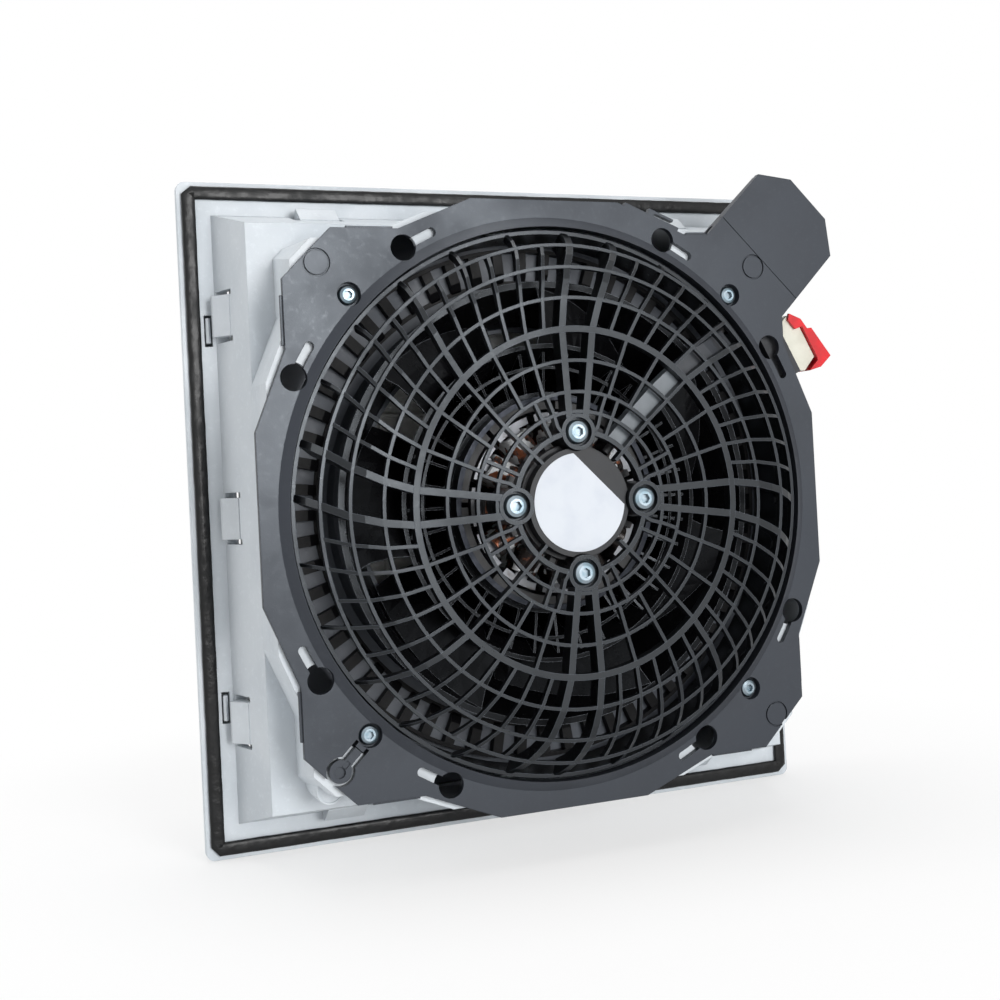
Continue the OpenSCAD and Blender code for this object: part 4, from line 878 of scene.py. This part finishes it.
@dataclass
class Coils:
    """Twelve coils of wire, one round each tooth of the stator."""

    teeth: int = 12
    root: float = 25.0
    tip: float = 38.0
    tooth_half: float = 3.3
    layer: float = 2.7
    low: float = 33.9
    high: float = 60.1
    wire: float = 0.93
    ridge_depth: float = 0.14
    bend_rise: float = 0.9
    bend_points: int = 17
    slab_points: int = 66
    inner_inset: float = 0.05

    def mesh(self) -> tuple[np.ndarray, np.ndarray]:
        """Winds the coils.

        The path round a tooth is a racetrack in the plane of its width and the fan axis: two
        straights joined by half circles. The profile is a slab along the radius whose outer
        side carries one round ridge a wire, |sin| of the radius over the wire's pitch.

        Returns:
            Points of all coils in metres, and their quads.
        """
        across = self.tooth_half + self.layer / 2
        bend = np.linspace(0, math.pi, self.bend_points)
        normal_y = np.concatenate([np.cos(bend), -np.cos(bend)])
        normal_h = np.concatenate([np.sin(bend), -np.sin(bend)])
        path_y = across * normal_y
        ends = np.repeat([self.high, self.low], self.bend_points)
        path_h = ends + across * self.bend_rise * normal_h
        radius = np.linspace(self.root, self.tip, self.slab_points)
        ridge = np.abs(np.sin(math.pi * (radius - self.root) / self.wire))
        outer = self.layer / 2 * (1 - self.ridge_depth + self.ridge_depth * ridge)
        inner = np.full(len(radius), self.inner_inset - self.layer / 2)
        profile_r = np.concatenate([radius, radius[::-1]])
        profile_t = np.concatenate([outer, inner])
        shape = (len(path_y), len(profile_r))
        r = np.broadcast_to(profile_r, shape)
        y = path_y[:, None] + normal_y[:, None] * profile_t[None, :]
        h = path_h[:, None] + normal_h[:, None] * profile_t[None, :]
        angles = np.arange(self.teeth)[:, None, None] * math.tau / self.teeth
        turned_x, turned_y = turned(r, y, angles)
        points = np.stack([turned_x, turned_y, np.broadcast_to(h, turned_x.shape)], axis=-1)
        each = shape[0] * shape[1]
        one = swept_faces(*shape)
        faces = (one[None] + (np.arange(self.teeth) * each)[:, None, None]).reshape(-1, 4)
        LOG.info("coils: %d turns a tooth", int((self.tip - self.root) / self.wire))
        return stand(points), faces


@dataclass
class FanUnit:
    """Fan plate, guard grille, motor and terminal arm."""

    workshop: Workshop
    coils: Coils = field(default_factory=Coils)

    def build(self) -> None:
        """Winds the coils and dresses everything on the fan unit."""
        finishes = self.workshop.palette
        points, faces = self.coils.mesh()
        copper = solid("stator_coils", points, faces)
        copper.data.materials.append(self.workshop.material(finishes.copper))
        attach(copper, "fan_unit")
        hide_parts("stator_windings")
        LOG.info("stator_coils ride on fan_unit")
        self.workshop.dress({
            "fan_plate": finishes.plate, "guard_grille": finishes.guard,
            "plate_screws": finishes.zinc, "hub_screws": finishes.zinc,
            "motor_flange": finishes.motor, "label_disc": finishes.label,
            "bearing_tube": finishes.motor, "stator_core": finishes.core,
            "bearing_upper": finishes.steel, "bearing_lower": finishes.steel,
            "cable_duct": finishes.duct, "motor_lead": finishes.sheath,
            "terminal_cover": finishes.plate, "terminal_tray": finishes.plate,
            "terminal_block": finishes.ivory, "plug_socket": finishes.socket})


@dataclass
class Rotor:
    """Rotor can with magnets, shaft and impeller."""

    workshop: Workshop

    def build(self) -> None:
        """Dresses the turning pieces."""
        finishes = self.workshop.palette
        self.workshop.dress({
            "rotor_can": finishes.can, "rotor_magnets": finishes.magnet,
            "shaft": finishes.steel, "shaft_ring": finishes.steel,
            "impeller": finishes.impeller})


@dataclass
class SmallMovers:
    """Latch tongue, supply plug and the plug's lever."""

    workshop: Workshop

    def build(self) -> None:
        """Dresses the small moving pieces."""
        finishes = self.workshop.palette
        self.workshop.dress({
            "latch_tongue": finishes.plate, "plug_body": finishes.cream,
            "plug_lever": finishes.red})


# Studio


@dataclass(frozen=True)
class PhotoCamera:
    """Camera at the photograph's viewpoint, worked out from the flange's square outline."""

    yaw: float = -0.387501
    pitch: float = 0.0155256
    roll: float = 0.0503723
    place_mm: tuple[float, float, float] = (-265.80, -656.42, 16.23)
    focal_px: float = 1369.15
    centre_px: tuple[float, float] = (509.35, 449.07)
    side_px: float = 1000.0
    sensor: float = 36.0
    near: float = 0.01

    def build(self) -> None:
        """Makes the camera and sets it as the scene's own."""
        turned = Matrix.Rotation(self.yaw, 3, "Z") @ Matrix.Rotation(self.pitch, 3, "X")
        turned = turned @ Matrix.Rotation(self.roll, 3, "Y")
        right, ahead, up = (turned.col[i] for i in range(3))
        basis = Matrix((right, up, -ahead)).transposed()
        data = bpy.data.cameras.new("photo_camera")
        data.sensor_width = self.sensor
        data.lens = self.focal_px / self.side_px * self.sensor
        data.shift_x = (self.side_px / 2 - self.centre_px[0]) / self.side_px
        data.shift_y = (self.centre_px[1] - self.side_px / 2) / self.side_px
        data.clip_start = self.near
        camera = bpy.data.objects.new("photo_camera", data)
        camera.matrix_world = Matrix.Translation(Vector(self.place_mm) * MM) @ basis.to_4x4()
        bpy.context.scene.collection.objects.link(camera)
        bpy.context.scene.camera = camera
        LOG.info("camera stands at the photograph's viewpoint")


@dataclass(frozen=True)
class SoftLamp:
    """One large soft lamp aimed at the unit."""

    name: str
    place: tuple[float, float, float]
    size: float
    power: float

    def build(self) -> None:
        """Makes the lamp."""
        data = bpy.data.lights.new(self.name, "AREA")
        data.shape = "DISK"
        data.size = self.size
        data.energy = self.power
        lamp = bpy.data.objects.new(self.name, data)
        lamp.location = self.place
        lamp.rotation_euler = (-Vector(self.place)).to_track_quat("-Z", "Y").to_euler()
        bpy.context.scene.collection.objects.link(lamp)


@dataclass
class Studio:
    """Pale floor, white surroundings and soft lamps."""

    ambient: float = 0.3
    floor_side: float = 12.0
    floor_near: float = 0.2
    floor_far: float = 0.42
    floor_glow: float = 0.62
    floor_gap: float = 0.0005
    floor_cloud_mm: float = 600.0
    floor_colour: Colour = (0.93, 0.93, 0.93)
    floor_light: Colour = (0.95, 0.95, 0.95)
    lamps: tuple[SoftLamp, ...] = (
        SoftLamp("lamp_front", (0.33, -1.9, 0.3), 0.9, 25.0),
        SoftLamp("lamp_left", (-2.0, 0.5, 0.7), 1.6, 12.0),
        SoftLamp("lamp_above", (0.0, 0.1, 2.4), 1.6, 34.0),
    )

    @staticmethod
    def seen(graph: Graph) -> Signal:
        """Returns 1 where a surface is seen straight, in a gloss or through glass."""
        path = graph.node("ShaderNodeLightPath")
        gloss = graph.node("ShaderNodeMath", {"operation": "MAXIMUM"}, {
            0: path.outputs["Is Glossy Ray"], 1: path.outputs["Is Transmission Ray"]})
        item = graph.node("ShaderNodeMath", {"operation": "MAXIMUM"}, {
            0: path.outputs["Is Camera Ray"], 1: gloss.outputs[0]})
        return Signal(graph, item.outputs[0])

    def surroundings(self) -> None:
        """Makes the world white to the eye and softer as a light."""
        graph = WorldGraph("surroundings")
        strength = self.ambient + (1 - self.ambient) * self.seen(graph)
        light = graph.node("ShaderNodeBackground", values={"Color": WHITE, "Strength": strength})
        graph.node("ShaderNodeOutputWorld", values={"Surface": light.outputs[0]})
        bpy.context.scene.world = graph.world

    def floor(self, height: float) -> None:
        """Lays the floor, which fades into the white surroundings away from the object.

        Args:
            height: Where the floor lies, in metres.
        """
        half = self.floor_side / 2
        corners = np.array([[-half, -half, height], [half, -half, height], [half, half, height],
                            [-half, half, height]])
        plane = solid("floor", corners, np.array([[0, 1, 2, 3]]), smooth=False)
        graph = Graph("floor_white")
        cloud = graph.noise(self.floor_cloud_mm, 2)
        flat = graph.stretched((1.0, 1.0, 0.0))
        distance = graph.node("ShaderNodeVectorMath", {"operation": "LENGTH"}, {0: flat})
        away = Signal(graph, distance.outputs["Value"])
        fade = self.floor_glow + (1 - self.floor_glow) * away.steps(self.floor_near, self.floor_far)
        tone = graph.blend(cloud, self.floor_colour, self.floor_light)
        matt = graph.node("ShaderNodeBsdfPrincipled", values={"Base Color": tone, "Roughness": 0.8})
        white = graph.node("ShaderNodeEmission", values={"Color": WHITE, "Strength": 1.0})
        mixed = graph.node("ShaderNodeMixShader", values={
            0: self.seen(graph) * fade, 1: matt.outputs[0], 2: white.outputs[0]})
        graph.node("ShaderNodeOutputMaterial", values={"Surface": mixed.outputs[0]})
        plane.data.materials.append(graph.material)
        plane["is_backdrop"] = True

    def build(self, lowest: float) -> None:
        """Sets up the studio under the object's lowest point."""
        self.surroundings()
        self.floor(lowest - self.floor_gap)
        for lamp in self.lamps:
            lamp.build()
        LOG.info("studio has %d lamps", len(self.lamps))


def main() -> None:
    """Builds every sub-assembly in order, then the studio and the camera."""
    logging.basicConfig(level=logging.INFO, format="%(message)s", stream=sys.stdout)
    low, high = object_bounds()
    workshop = Workshop(Palette())
    for assembly in (Housing, Louvre, FanUnit, Rotor, SmallMovers):
        assembly(workshop).build()
    Studio().build(low[2])
    PhotoCamera().build()
    bpy.context.scene.view_settings.view_transform = "Standard"


if __name__ == "__main__":
    main()
